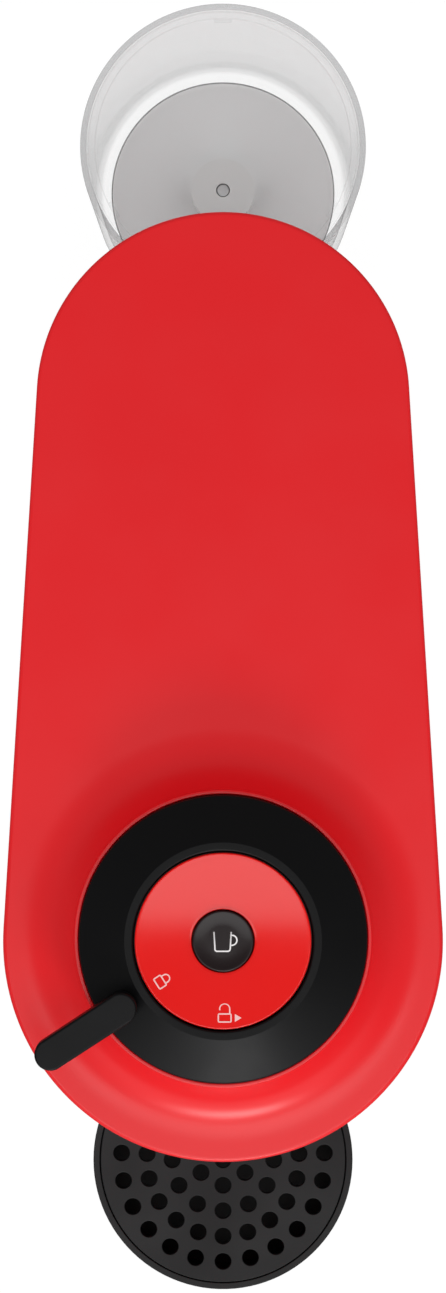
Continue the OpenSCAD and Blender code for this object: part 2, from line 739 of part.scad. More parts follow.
module valve_cage() color("#e8e8e8") at_tank() difference() {
    translate([0, 0, tank_z + 3]) cylinder(r = 11, h = 12);
    translate([0, 0, tank_z + 2]) cylinder(r = 9, h = 11);
    for (k = [0:2]) rotate(60 * k) box([-12, 12], [-3, 3], [tank_z + 5, tank_z + 11]);
    translate([0, 0, tank_z + 2]) cylinder(r = 2.4, h = 15);
}

module tank_valve() color("#3b6ea5") at_tank() {
    translate([0, 0, tank_z - 2.2]) cylinder(r = 2, h = 16);
    translate([0, 0, tank_z + 3.2]) cylinder(r = 7, h = 2);
}

module valve_spring() color(steel) at_tank() coil_spring(4.5, 0.5, tank_z + 5.3, 7.5, 3);

// ---- lid ----

// The lid's outline as [x, y, normal x, normal y], anticlockwise from the dial's left
function lid_arc(y, r, from, sweep, n) = [for (i = [0:n]) let (a = from + sweep * i / n)
    [r * cos(a), y + r * sin(a), cos(a), sin(a)]];

// A straight side, its points seen from the dial at equal angles
function lid_side(right, steps) = [for (i = steps)
    let (a = mix(side_from, side_to, i), reach = side_reach / cos(a - lean))
    [right * reach * cos(a), dial_y + reach * sin(a), right * cos(lean), sin(lean)]];

side_reach = head_front_r - (dial_y - head_front_y) * sin(lean);
side_from = atan2(head_front_y + head_front_r * sin(lean) - dial_y, head_front_r * cos(lean));
side_to = atan2(head_rear_y + head_rear_r * sin(lean) - dial_y, head_rear_r * cos(lean));
side_n = 13;
lid_line = concat(
    lid_arc(head_front_y, head_front_r, -180 - lean, 180 + 2 * lean, 48),
    lid_side(1, [for (i = [1:side_n - 1]) i / side_n]),
    lid_arc(head_rear_y, head_rear_r, lean, 180 - 2 * lean, 32),
    lid_side(-1, [for (i = [side_n - 1:-1:1]) i / side_n]));

// Height of the lid's broad top, which rises a little towards the front
function deck_at(y) = seam_z + mix(front_rise, rear_rise, (y - lid_front) / (lid_rear - lid_front));

// Height of the lid's face, or of its inner face an inset below it: a low volcano round the dial
function lid_height(p, inset) =
    let (deck = deck_at(p.y), out = norm([p.x, p.y - dial_y]) - rim_r + inset,
        fall = 1 - min(max(out / skirt_w, 0), 1))
    deck - inset + (collar_top - deck) * pow(fall, skirt_power);

function on_lid(p, inset) = [p.x, p.y, lid_height(p, inset)];

// A point at a distance from the dial's centre, in line with a point of the outline
function from_dial(p, reach) = [0, dial_y] + reach * unit([p.x, p.y - dial_y]);

// Rings of the lid's face: down the skirt, over the flat top, round the edge, down the side
function lid_rings(inset) =
    let (foot = rim_r - inset + skirt_w, edge = inset + lid_edge_r) concat(
    [for (t = [0, 0.05, 0.11, 0.19, 0.3, 0.44, 0.64]) [for (p = lid_line)
        on_lid(from_dial(p, rim_r - inset + t * skirt_w), inset)]],
    [for (t = [0, 0.35, 0.7, 1]) [for (p = lid_line)
        on_lid(mix(from_dial(p, foot), [p.x - edge * p[2], p.y - edge * p[3]], t), inset)]],
    [for (a = [30, 60, 90]) [for (p = lid_line)
        let (q = inset + lid_edge_r * (1 - sin(a)))
        [p.x - q * p[2], p.y - q * p[3],
            deck_at(p.y - edge * p[3]) - inset - lid_edge_r * (1 - cos(a))]]],
    [[for (p = lid_line) [p.x - inset * p[2], p.y - inset * p[3], seam_z - (inset > 0 ? 1 : 0)]]]);

// A solid through rings of equally many points, closed by its first and last ring
module ring_solid(rings) {
    n = len(rings[0]);
    last = len(rings) - 1;
    polyhedron([for (ring = rings) each ring], [
        [for (k = [0:n - 1]) n - 1 - k],
        [for (k = [0:n - 1]) last * n + k],
        for (i = [0:last - 1]) for (k = [0:n - 1]) let (m = (k + 1) % n)
            each [[i * n + k, i * n + m, (i + 1) * n + k], [i * n + m, (i + 1) * n + m, (i + 1) * n + k]]]);
}

module lid_shell() color(red) difference() {
    ring_solid(lid_rings(0));
    intersection() {
        ring_solid(lid_rings(wall));
        translate([-100, -300, 0]) cube([200, 600, seat_z - ledge_t]);
    }
    at_dial() {
        translate([0, 0, seat_z]) cylinder(r = collar_r, h = 20);
        translate([0, 0, seam_z]) cylinder(r = ring_r - 2.3, h = 60);
    }
}

module lid_liner() color(black) difference() {
    slab(seam_z, 2) outline(head_line, -wall - 0.2);
    at_dial() translate([0, 0, seam_z - 1]) cylinder(r = 60, h = 5);
    box([-29, 29], [84, hinge_y + 9], [seam_z - 1, seam_z + 5]);
}

// The arms' plate lies just under the lid's top
arm_y = [hinge_y - 14, hinge_y + 4];
arm_top = deck_at(arm_y[1]) - wall - seam_gap;
arm_z = [arm_top - 1.8, arm_top];

module hinge_arms() color("#5a5c60") difference() {
    union() {
        mirrored() hull() {
            across(15, hinge_y, hinge_z) cylinder(r = 6, h = 6.7);
            box([15, 21.7], arm_y, arm_z);
        }
        box([-21.7, 21.7], arm_y, arm_z);
    }
    across(-30, hinge_y, hinge_z) cylinder(r = pin_r + fit, h = 60);
}

module lid_swivel() color("#c9a24a") {
    across(0.2, hinge_y, hinge_z) tube(5, 2, 0, 14.6);
    translate([5, hinge_y - 4.4, hinge_z]) rotate([90, 0, 0]) cylinder(r = hose_r, h = 3);
}

module lid_hose() color("#c9ccce")
    hose([[5, hinge_y - 7.7, hinge_z], [5, hinge_y - 60, hinge_z + 2],
        [0, dial_y + 90, hub_floor_z - 16], [0, dial_y + 19.4, hub_floor_z - 11]], hose_r);

module dial_hub() color(soft_black) at_dial() difference() {
    union() {
        translate([0, 0, hub_floor_z]) cylinder(r = ring_r - 2.6, h = hub_floor_t);
        tube(ring_r - 2.6, ring_r - 4.6, hub_floor_z, seat_z - hub_floor_z - seam_gap);
        tube(ring_r + 0.2, ring_r - 3, hub_floor_z, seat_z - hub_floor_z - 3.2);
        tube(hub_r - 0.1, hub_r - 2.6, hub_floor_z, disc_z - hub_floor_z - touch);
    }
    for (k = [0:2])
        sector(lock_in - 0.6, lock_in + 3.1, drive_angle + 120 * k - 3, lever_swing + 20,
            hub_floor_z - 1, hub_floor_t + 5);
}

drive_angle = 100;
lock_in = 33.8;
lock_z = seam_z + 5;

module dial_disc() color(gloss_red) at_dial() difference() {
    translate([0, 0, disc_z]) cylinder(r = disc_r, h = disc_t);
    translate([0, 0, disc_z - 1]) cylinder(r = button_r + seam_gap, h = 10);
}

module button_board() color("#23613a") at_dial() {
    translate([0, 0, hub_floor_z + hub_floor_t]) cylinder(r = 20, h = 1.6);
    box([-3, 3], [-3, 3], [hub_floor_z + hub_floor_t + 1.5, hub_floor_z + hub_floor_t + 4]);
}

module button_spring() color(steel) at_dial()
    coil_spring(5.4, 0.45, hub_floor_z + hub_floor_t + 1.7, disc_z - hub_floor_z - hub_floor_t - 4.4, 3);

module brew_button() color("#2c2426") at_dial() {
    translate([0, 0, disc_z - 2.6]) cylinder(r = button_r, h = disc_t + 3);
    translate([0, 0, hub_floor_z + hub_floor_t + 5.6])
        cylinder(r = 2, h = disc_z - 2.5 - hub_floor_z - hub_floor_t - 5.6);
}

// Section of the lever ring; the grip's seat is cut from the same cone
function ring_cone() = [[ring_r, ring_z], [ring_r, ring_edge - 0.8], [cone_r, ring_edge],
    [lip_r + 0.4, lip_z - 0.1], [lip_r, lip_z]];

module lever_ring() color(soft_black) at_dial() {
    rotate_extrude() polygon(concat(ring_cone(), [[hub_r + seam_gap, lip_z],
        [hub_r + seam_gap, lip_z - 6], [lip_r - 0.6, lip_z - 6], [lip_r - 0.2, lip_z - 3.2],
        [ring_r - 3.3, ring_edge - 1.4], [ring_r - 3.3, ring_z]]));
    lock_ring();
}

// The bayonet ring, driven by three tabs that reach up through the hub to the lever ring
module lock_ring() {
    tube(48, lock_in, lock_z, 4);
    for (k = [0:2]) {
        sector(lock_in, lock_in + 2.5, drive_angle + 120 * k, 14, lock_z,
            ring_edge + 1.6 - lock_z);
        sector(47, 53.2, catch_angle + 17 + 120 * k, 12, lock_z, 4);
    }
}

module lever_grip() color(soft_black) at_dial() rotate(lever_angle) difference() {
    intersection() {
        slab(ring_z, lever_top - ring_z) {
            translate([lip_r + lever_w / 2, 0]) circle(r = lever_w / 2);
            translate([lever_reach - lever_w / 2, 0]) circle(r = lever_w / 2);
            translate([lip_r + lever_w / 2, -lever_w / 2]) square([lever_reach - lip_r - lever_w, lever_w]);
        }
        rotate([90, 0, 0]) translate([0, 0, -20]) linear_extrude(40)
            polygon([[lip_r - 2, lever_top], [lever_reach - 1, lever_top], [lever_reach + 1, lever_top - 2],
                [lever_reach + 1, lever_top - 7.6], [ring_r + 4, lever_top - 11], [lip_r - 2, lever_top - 11]]);
    }
    rotate_extrude() polygon(concat([[0, ring_z - 1], [ring_r + touch, ring_z - 1]],
        [for (p = ring_cone()) p + [touch, touch]], [[0, lip_z + touch]]));
}

module clamp_hub() color("#6c6f74") at_dial() difference() {
    translate([0, 0, seam_z + 8]) cylinder(r = 19, h = hub_floor_z - seam_z - 8);
    translate([0, 0, seam_z + 7]) cylinder(r = 14 + fit, h = 8.2);
    translate([0, 0, seam_z + 7]) cylinder(r = 11, h = 16);
    translate([0, 0, hub_floor_z - 11]) rotate([-90, 0, 0]) cylinder(r = 2, h = 30);
    translate([0, 0, seam_z + 14]) cylinder(r = 2, h = hub_floor_z - seam_z - 24);
}

module clamp_head() color("#8d9196") at_dial() {
    translate([0, 0, drum_top + seam_gap]) difference() {
        cylinder(r = 31, h = 3);
        for (k = [0:7]) rotate(45 * k) translate([24, 0, -1]) cylinder(r = 2.4, h = 2.4);
    }
    translate([0, 0, drum_top + 3]) cylinder(r = 8, h = seam_z + 16 - drum_top);
    translate([0, 0, seam_z + 8.2]) cylinder(r = 14, h = 6.8);
    translate([0, 0, drum_top - 7]) cylinder(r1 = 0.4, r2 = 1.8, h = 8);
}

base_pan();
rubber_feet();
chassis();
column_shell();
rear_cover();
cord_gland();
base_screws();
lower_head();
head_deck();
hinge_bracket();
hinge_pins();
capsule_chute();
brew_collector();
coffee_spout();
barcode_reader();
motor_plate();
motor_stator();
drum_bearings();
motor_rotor();
drum_shaft();
capsule_drum();
heater_block();
pump_mounts();
pump_frame();
pump_coil();
pump_body();
pump_piston();
pump_spring();
flow_meter();
flow_impeller();
control_board();
tank_socket();
tank_hose();
suction_hose();
pressure_hose();
hot_water_hose();
water_swivel();
drip_bowl();
capsule_bin();
drip_grid();
water_tank();
tank_lid();
tank_seal();
valve_cage();
tank_valve();
valve_spring();
lid_shell();
lid_liner();
hinge_arms();
lid_swivel();
lid_hose();
dial_hub();
dial_disc();
button_board();
button_spring();
brew_button();
lever_ring();
lever_grip();
clamp_hub();
clamp_head();
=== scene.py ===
"""Pod coffee machine: its shells, dial, tank and tray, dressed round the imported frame.

The head is one moulded red shell that rises like a low volcano round the dial. Everything is in
metres, in the frame's own place: front is -Y, up is +Z. Sizes written in the classes are in
millimetres, as on a drawing, and places are read from the boxes of the frame's own nodes.
"""
import logging
import math
from collections.abc import Callable, Iterator, Sequence
from contextlib import contextmanager
from dataclasses import dataclass, field
from enum import Enum

import bmesh
import bpy
from mathutils import Matrix, Vector


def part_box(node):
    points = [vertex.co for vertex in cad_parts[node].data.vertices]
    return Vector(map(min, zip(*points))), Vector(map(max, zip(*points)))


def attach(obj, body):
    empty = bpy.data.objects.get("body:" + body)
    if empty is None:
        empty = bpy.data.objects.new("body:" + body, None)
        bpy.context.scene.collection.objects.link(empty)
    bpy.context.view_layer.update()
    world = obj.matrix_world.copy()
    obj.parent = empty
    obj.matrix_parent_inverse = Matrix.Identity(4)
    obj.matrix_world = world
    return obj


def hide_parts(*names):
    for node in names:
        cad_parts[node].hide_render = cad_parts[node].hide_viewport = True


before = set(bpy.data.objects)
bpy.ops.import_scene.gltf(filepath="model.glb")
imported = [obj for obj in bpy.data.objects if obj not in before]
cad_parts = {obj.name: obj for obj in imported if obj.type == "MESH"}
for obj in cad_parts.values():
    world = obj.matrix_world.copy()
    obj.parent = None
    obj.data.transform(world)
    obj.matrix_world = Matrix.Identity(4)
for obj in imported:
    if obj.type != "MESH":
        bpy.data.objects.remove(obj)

LOG = logging.getLogger("coffee_machine")
MM = 0.001
Z_AXIS = Vector((0, 0, 1))
NOISE_SPAN = (0.35, 0.65)  # where most values of a noise lie
PATCH_SIZE = 28 * MM  # how broad the duller and glossier patches of a skin are
CLOUD_SIZE = 60 * MM  # how broad the clouds in a moulding's colour are
WAVE_LENGTH = 0.314  # length of one band of Blender's wave texture at a scale of 1
BRUSH_SHARE = 0.04  # how slowly a brushed texture changes along its strokes
COAT_ROUGHNESS = 0.08
COVER_SPAN = (0.2, 0.95)  # how far edge on a clear wall is where its cover grows
RIM_SPAN = (0.982, 1.0)  # the same for the painted dark shade line along its silhouette


# ---- colours and nodes ----

def linear(colour: str, alpha: float = 1.0) -> tuple[float, float, float, float]:
    """Turns an sRGB hex colour into linear light.

    Args:
        colour: Six hex digits, with or without a leading #.
        alpha: The fourth component.

    Returns:
        The linear colour with its alpha.
    """
    digits = colour.lstrip("#")
    parts = [int(digits[i:i + 2], 16) / 255 for i in (0, 2, 4)]
    light = [c / 12.92 if c <= 0.04045 else ((c + 0.055) / 1.055) ** 2.4 for c in parts]
    return light[0], light[1], light[2], alpha


def add_node(tree: bpy.types.NodeTree, kind: str, settings: dict | None = None,
             links: dict | None = None) -> bpy.types.Node:
    """Adds a node, sets its sockets or properties, and links sources into it.

    Args:
        tree: The node tree that takes the node.
        kind: Blender's name of the node type.
        settings: Values by socket or property name.
        links: Output sockets by the name of the input they feed.

    Returns:
        The new node.
    """
    node = tree.nodes.new(kind)
    for name, value in (settings or {}).items():
        if isinstance(name, int) or name in node.inputs:
            node.inputs[name].default_value = value
        else:
            setattr(node, name, value)
    for name, source in (links or {}).items():
        tree.links.new(source, node.inputs[name])
    return node


def find_node(tree: bpy.types.NodeTree, kind: str) -> bpy.types.Node:
    """Gives the first node of a type that a new tree holds."""
    return next(n for n in tree.nodes if n.type == kind)


# ---- finishes ----

class Texture(Enum):
    """The ways in which a moulded or machined surface is textured."""

    SPARK = "spark-eroded grain"
    POLISHED = "polished tool"
    BRUSHED = "brushed one way"
    CAST = "as cast"
    WOUND = "wound wire"


@dataclass(frozen=True)
class Finish:
    """A surface: what it is made of, its colour, its gloss and its texture.

    Attributes:
        name: Common name of the real material and how it was made.
        colour: sRGB hex colour.
        roughness: Mean roughness.
        texture: How the surface was textured.
        grain: Size of one grain or stroke, in millimetres.
        depth: Depth of the texture, in millimetres.
        metallic: 1 for metals.
        coat: Strength of a clear lacquer or a polished skin.
        mottle: How far roughness wanders over the surface.
        shade: sRGB hex colour of the darker cloud in the moulding, or none.
        shine: How strongly it mirrors, where 0.5 is common plastic.
    """

    name: str
    colour: str
    roughness: float
    texture: Texture = Texture.SPARK
    grain: float = 0.7
    depth: float = 0.01
    metallic: float = 0.0
    coat: float = 0.0
    mottle: float = 0.05
    shade: str | None = None
    shine: float = 0.5

    def build(self) -> bpy.types.Material:
        """Makes the material with its nodes.

        Returns:
            The material.
        """
        material = bpy.data.materials.new(self.name)
        material.use_nodes = True
        tree = material.node_tree
        shader = find_node(tree, "BSDF_PRINCIPLED")
        shader.inputs["Base Color"].default_value = linear(self.colour)
        shader.inputs["Metallic"].default_value = self.metallic
        shader.inputs["Specular IOR Level"].default_value = self.shine
        shader.inputs["Coat Weight"].default_value = self.coat
        shader.inputs["Coat Roughness"].default_value = COAT_ROUGHNESS
        place = add_node(tree, "ShaderNodeTexCoord").outputs["Object"]
        self.add_roughness(tree, shader, place)
        self.add_relief(tree, shader, place)
        if self.shade:
            self.add_clouding(tree, shader, place)
        return material

    def add_roughness(self, tree: bpy.types.NodeTree, shader: bpy.types.Node,
                      place: bpy.types.NodeSocket) -> None:
        """Lets the roughness wander, as handling and moulding leave it.

        Args:
            tree: The material's node tree.
            shader: The node whose roughness it feeds.
            place: The object coordinates.
        """
        cloud = add_node(tree, "ShaderNodeTexNoise", {"Scale": 1 / PATCH_SIZE, "Detail": 3.0},
                         {"Vector": place})
        spread = add_node(tree, "ShaderNodeMapRange", {
            "From Min": NOISE_SPAN[0], "From Max": NOISE_SPAN[1],
            "To Min": self.roughness - self.mottle / 2, "To Max": self.roughness + self.mottle / 2},
            {"Value": cloud.outputs["Fac"]})
        tree.links.new(spread.outputs["Result"], shader.inputs["Roughness"])

    def add_relief(self, tree: bpy.types.NodeTree, shader: bpy.types.Node,
                   place: bpy.types.NodeSocket) -> None:
        """Adds the texture's relief as a bump.

        Args:
            tree: The material's node tree.
            shader: The node whose normal it feeds.
            place: The object coordinates.
        """
        height = self.relief(tree, place)
        bump = add_node(tree, "ShaderNodeBump", {"Strength": 1.0, "Distance": self.depth * MM},
                        {"Height": height})
        tree.links.new(bump.outputs["Normal"], shader.inputs["Normal"])

    def relief(self, tree: bpy.types.NodeTree, place: bpy.types.NodeSocket) -> bpy.types.NodeSocket:
        """Gives the height of the texture at each place.

        Args:
            tree: The material's node tree.
            place: The object coordinates.

        Returns:
            The output socket that carries the height.
        """
        if self.texture is Texture.BRUSHED:
            place = add_node(tree, "ShaderNodeMapping", {"Scale": (1.0, 1.0, BRUSH_SHARE)},
                             {"Vector": place}).outputs["Vector"]
        if self.texture is Texture.WOUND:
            return add_node(tree, "ShaderNodeTexWave", {
                "bands_direction": "Z", "wave_profile": "SIN",
                "Scale": WAVE_LENGTH / (self.grain * MM)},
                {"Vector": place}).outputs["Fac"]
        detail = {Texture.POLISHED: 0.0, Texture.CAST: 6.0}.get(self.texture, 2.0)
        return add_node(tree, "ShaderNodeTexNoise", {
            "Scale": 1 / (self.grain * MM), "Detail": detail}, {"Vector": place}).outputs["Fac"]

    def add_clouding(self, tree: bpy.types.NodeTree, shader: bpy.types.Node,
                     place: bpy.types.NodeSocket) -> None:
        """Clouds the colour a little, as flow marks and pigment do.

        Args:
            tree: The material's node tree.
            shader: The node whose colour it feeds.
            place: The object coordinates.
        """
        cloud = add_node(tree, "ShaderNodeTexNoise", {"Scale": 1 / CLOUD_SIZE, "Detail": 4.0},
                         {"Vector": place})
        blend = add_node(tree, "ShaderNodeMix", {"data_type": "RGBA", 6: linear(self.colour),
                                                 7: linear(self.shade)},
                         {0: cloud.outputs["Fac"]})
        tree.links.new(blend.outputs[2], shader.inputs["Base Color"])


@dataclass(frozen=True)
class ClearFinish(Finish):
    """A clear moulded plastic that covers towards its silhouette, with a painted grey shade along the
    silhouette itself.

    Attributes:
        edge: sRGB hex colour of the painted shade where the surface is seen edge on.
        face_cover: How much of what lies behind is hidden where the surface is seen square on.
        edge_cover: The same where it is seen nearly edge on.
        rim_cover: The same along the silhouette itself.
    """

    edge: str = "55585a"
    face_cover: float = 0.05
    edge_cover: float = 0.3
    rim_cover: float = 0.8

    def build(self) -> bpy.types.Material:
        """Makes the material, its cover and its painted shade growing towards the silhouette.

        Returns:
            The material.
        """
        material = Finish.build(self)
        tree = material.node_tree
        shader = find_node(tree, "BSDF_PRINCIPLED")
        facing = add_node(tree, "ShaderNodeLayerWeight", {"Blend": 0.5}).outputs["Facing"]
        cover = add_node(tree, "ShaderNodeMapRange", {
            "From Min": COVER_SPAN[0], "From Max": COVER_SPAN[1],
            "To Min": self.face_cover, "To Max": self.edge_cover}, {"Value": facing})
        rim = add_node(tree, "ShaderNodeMapRange", {
            "From Min": RIM_SPAN[0], "From Max": RIM_SPAN[1]}, {"Value": facing})
        line = add_node(tree, "ShaderNodeMath", {"operation": "MULTIPLY", 1: self.rim_cover},
                        {0: rim.outputs["Result"]})
        solid = add_node(tree, "ShaderNodeMath", {"operation": "MAXIMUM"},
                         {0: cover.outputs["Result"], 1: line.outputs["Value"]})
        tree.links.new(solid.outputs["Value"], shader.inputs["Alpha"])
        # Painted shade: the colour turns to the edge grey along the silhouette.
        tint = add_node(tree, "ShaderNodeMix", {
            "data_type": "RGBA", 6: linear(self.colour), 7: linear(self.edge)},
            {0: rim.outputs["Result"]})
        tree.links.new(tint.outputs[2], shader.inputs["Base Color"])
        return material


# Satin ABS from an etched tool: a soft, wide highlight and an even, saturated red
RED_ABS = Finish("satin_red_abs", "ec0f19", 0.31, grain=0.9, depth=0.006, mottle=0.04,
                 shade="e60e18", shine=0.5)
# Acrylic-topped ABS with a polished skin: mirrors the room in a clear, thin layer
GLOSS_RED = Finish("polished_red_acrylic", "e81512", 0.09, Texture.POLISHED, 30, 0.02, coat=0.25,
                   mottle=0.03, shine=0.4)
# Glass-filled polypropylene with fine spark grain: near black, it greys only towards the light
RING_PP = Finish("textured_black_polypropylene", "0e0e0f", 0.42, grain=0.55, depth=0.02,
                 mottle=0.08, shade="0b0b0c", shine=0.18)
# The tray's coarser polypropylene: the same black, dustier from use
TRAY_PP = Finish("matt_charcoal_polypropylene", "1b1b1c", 0.5, grain=0.7, depth=0.02,
                 mottle=0.1, shade="171718", shine=0.3)
# Moulded black ABS of the base and the drawer
BLACK_ABS = Finish("moulded_black_abs", "1d1d1f", 0.4, grain=0.8, depth=0.012, mottle=0.08)
# Inner mouldings, never polished
DARK_ABS = Finish("moulded_charcoal_abs", "2c2d30", 0.5, grain=0.9, depth=0.015, mottle=0.1)
# Polycarbonate button cap with a polished skin
BUTTON_PC = Finish("polished_black_polycarbonate", "1c1213", 0.2, Texture.POLISHED, 20, 0.01,
                   coat=0.1, mottle=0.04, shine=0.28)
# Clear copolyester of the tank and its cap, with a painted grey shade along its silhouettes
CLEAR_TANK = ClearFinish("clear_moulded_copolyester", "eceeef", 0.08, Texture.POLISHED, 40, 0.02,
                         mottle=0.02)
# The same plastic where the mould was sand-blasted: the tank's sunk floor
FROSTED_TANK = ClearFinish("sand_blasted_copolyester", "fbfbfb", 0.5, grain=0.5, depth=0.01,
                           edge="fbfbfb", face_cover=0.93, edge_cover=0.93)
# Its rim: a duller gloss, and a painted grey shade where the light leaves the wall there
RIM_PAINTED_SHADE = ClearFinish("copolyester_rim_painted_shade", "8e9092", 0.3, grain=0.5, depth=0.01,
                       face_cover=0.45, edge_cover=0.6)
# The sharp step round that floor, painted dark as the shade line it shows
STEP_PAINTED_SHADE = ClearFinish("copolyester_step_painted_shade", "5a5c5e", 0.5, grain=0.5, depth=0.01,
                        face_cover=0.85, edge_cover=0.9)
# White acetal of the small water parts
WHITE_POM = Finish("moulded_white_acetal", "eeeeed", 0.35, grain=1.2, depth=0.004)
# Undyed acetal of the moving water parts
SIGNAL_POM = Finish("moulded_grey_acetal", "dfe0e1", 0.35, grain=1.2, depth=0.004)
# Moulded nitrile rubber: dull, with a trace of bloom
RUBBER = Finish("moulded_nitrile_rubber", "1b1b1b", 0.72, grain=0.6, depth=0.02, mottle=0.16,
                shade="232323")
# Extruded silicone hose: milky and slightly greasy
SILICONE = Finish("extruded_silicone", "cfd2d2", 0.34, grain=1.5, depth=0.006)
# Turned and ground steel
STEEL = Finish("ground_steel", "b4b7bb", 0.28, Texture.BRUSHED, 0.3, 0.003, metallic=1.0)
# Stainless steel, brushed after pressing
BRUSHED_STEEL = Finish("brushed_stainless_steel", "c2c4c6", 0.32, Texture.BRUSHED, 0.35, 0.006,
                       metallic=1.0, mottle=0.1)
# Zinc die casting, tumbled
ZINC = Finish("tumbled_zinc_casting", "8b8e92", 0.48, Texture.CAST, 1.4, 0.02, metallic=1.0,
              mottle=0.14)
# Cast and machined aluminium
ALUMINIUM = Finish("cast_aluminium", "c0c3c6", 0.4, Texture.CAST, 1.2, 0.02, metallic=1.0,
                   mottle=0.12)
# Enamelled copper wire in close turns, drawn at twice its real gauge so that turns show
COPPER = Finish("enamelled_copper_winding", "a9541f", 0.3, Texture.WOUND, 0.8, 0.12,
                metallic=1.0)
# Machined brass
BRASS = Finish("machined_brass", "c79f4b", 0.3, Texture.BRUSHED, 0.4, 0.004, metallic=1.0)
# Glass-epoxy board under green solder mask
BOARD = Finish("solder_masked_board", "1c5a36", 0.3, Texture.SPARK, 1.6, 0.01, coat=0.3,
               shade="174c2e")
# Screen-printed ink, opaque and dull
WHITE_INK = Finish("white_printed_ink", "f2eeee", 0.55, grain=0.4, depth=0.002)
PINK_INK = Finish("pale_pink_printed_ink", "f6c3c1", 0.55, grain=0.4, depth=0.002)

SLOT_FINISHES = {
    "red_plastic": RED_ABS, "gloss_red": GLOSS_RED, "black_plastic": BLACK_ABS,
    "dark_plastic": DARK_ABS, "ring_plastic": RING_PP, "grid_plastic": TRAY_PP,
    "button_plastic": BUTTON_PC, "clear_plastic": CLEAR_TANK, "white_plastic": WHITE_POM,
    "signal_plastic": SIGNAL_POM, "rubber": RUBBER, "silicone": SILICONE, "steel": STEEL,
    "brushed_steel": BRUSHED_STEEL, "zinc": ZINC, "aluminium": ALUMINIUM, "copper": COPPER,
    "brass": BRASS, "circuit_board": BOARD,
}


class Paintbox:
    """Keeps one material of each finish."""

    def __init__(self) -> None:
        """Starts empty; a finish is mixed when it is first asked for."""
        self.mixed: dict[str, bpy.types.Material] = {}

    def get(self, finish: Finish) -> bpy.types.Material:
        """Gives the finish's material, made once."""
        if finish.name not in self.mixed:
            self.mixed[finish.name] = finish.build()
        return self.mixed[finish.name]


# ---- workshop: selecting, shaping and finishing meshes ----

def select_only(piece: bpy.types.Object) -> None:
    """Selects one piece alone and makes it the active one.

    Args:
        piece: The piece to select.
    """
    bpy.ops.object.select_all(action="DESELECT")
    piece.select_set(True)
    bpy.context.view_layer.objects.active = piece


def start_mesh(add: Callable[..., set[str]], **settings: object) -> bpy.types.Object:
    """Adds one simple mesh, with nothing else selected.

    Args:
        add: Blender's operator that adds the shape.
        settings: The operator's settings by name.

    Returns:
        The new mesh object.
    """
    bpy.ops.object.select_all(action="DESELECT")
    add(**settings)
    return bpy.context.object


@contextmanager
def editing(piece: bpy.types.Object) -> Iterator[bmesh.types.BMesh]:
    """Opens one piece alone in edit mode, with all of it selected.

    Args:
        piece: The mesh object to shape.

    Yields:
        Its edit mesh.
    """
    select_only(piece)
    bpy.ops.object.mode_set(mode="EDIT")
    bpy.ops.mesh.select_all(action="SELECT")
    yield bmesh.from_edit_mesh(piece.data)
    bpy.ops.object.mode_set(mode="OBJECT")


def select_where(mesh: bmesh.types.BMesh, test: Callable[[Vector], bool], parts: str = "verts") -> int:
    """Selects the parts whose middle passes a test, and nothing else.

    Args:
        mesh: The edit mesh.
        test: Takes a place in metres.
        parts: verts or faces.

    Returns:
        How many were selected.
    """
    bpy.ops.mesh.select_all(action="DESELECT")
    bpy.ops.mesh.select_mode(type="VERT" if parts == "verts" else "FACE")
    chosen = [p for p in getattr(mesh, parts)
              if test(p.co if parts == "verts" else p.calc_center_median())]
    for part in chosen:
        part.select_set(True)
    mesh.select_flush_mode()
    return len(chosen)


def repaint(piece: bpy.types.Object, material: bpy.types.Material,
            test: Callable[[Vector], bool]) -> None:
    """Gives another material to the faces whose middle passes a test.

    Args:
        piece: The dressed mesh object.
        material: The other material.
        test: Takes a place in metres.
    """
    piece.data.materials.append(material)
    piece.active_material_index = len(piece.data.materials) - 1
    with editing(piece) as mesh:
        select_where(mesh, test, "faces")
        bpy.ops.object.material_slot_assign()


def modify(piece: bpy.types.Object, kind: str, **settings: object) -> None:
    """Adds a modifier to a piece and applies it.

    Args:
        piece: The mesh object.
        kind: Blender's name of the modifier's type.
        settings: Its settings by name.
    """
    select_only(piece)
    modifier = piece.modifiers.new(kind.lower(), kind)
    for name, value in settings.items():
        setattr(modifier, name, value)
    bpy.ops.object.modifier_apply(modifier=modifier.name)


def settle(piece: bpy.types.Object, name: str, merge: float = 0.002) -> bpy.types.Object:
    """Puts a piece's place into its mesh, merges doubles and turns its faces outwards.

    Args:
        piece: The shaped object.
        name: Its final name.
        merge: Distance in millimetres below which points are one.

    Returns:
        The piece, renamed.
    """
    select_only(piece)
    bpy.ops.object.transform_apply(location=True, rotation=True, scale=True)
    with editing(piece):
        bpy.ops.mesh.remove_doubles(threshold=merge * MM)
        bpy.ops.mesh.normals_make_consistent(inside=False)
    piece.name = name
    piece.data.name = name
    return piece


def shade(piece: bpy.types.Object, angle: float = 32) -> None:
    """Shades a piece smooth up to an angle between faces, its broad faces staying flat.

    Args:
        piece: The mesh object.
        angle: Angle in degrees above which an edge stays sharp.
    """
    select_only(piece)
    bpy.ops.object.shade_smooth_by_angle(angle=math.radians(angle))
    modify(piece, "WEIGHTED_NORMAL", weight=100, keep_sharp=True)


def join(name: str, pieces: Sequence[bpy.types.Object]) -> bpy.types.Object:
    """Joins pieces into the first of them.

    Args:
        name: The joined piece's name.
        pieces: The pieces, the one that takes the others first.

    Returns:
        The joined piece.
    """
    bpy.ops.object.select_all(action="DESELECT")
    for piece in pieces:
        piece.select_set(True)
    bpy.context.view_layer.objects.active = pieces[0]
    bpy.ops.object.join()
    pieces[0].name = name
    return pieces[0]


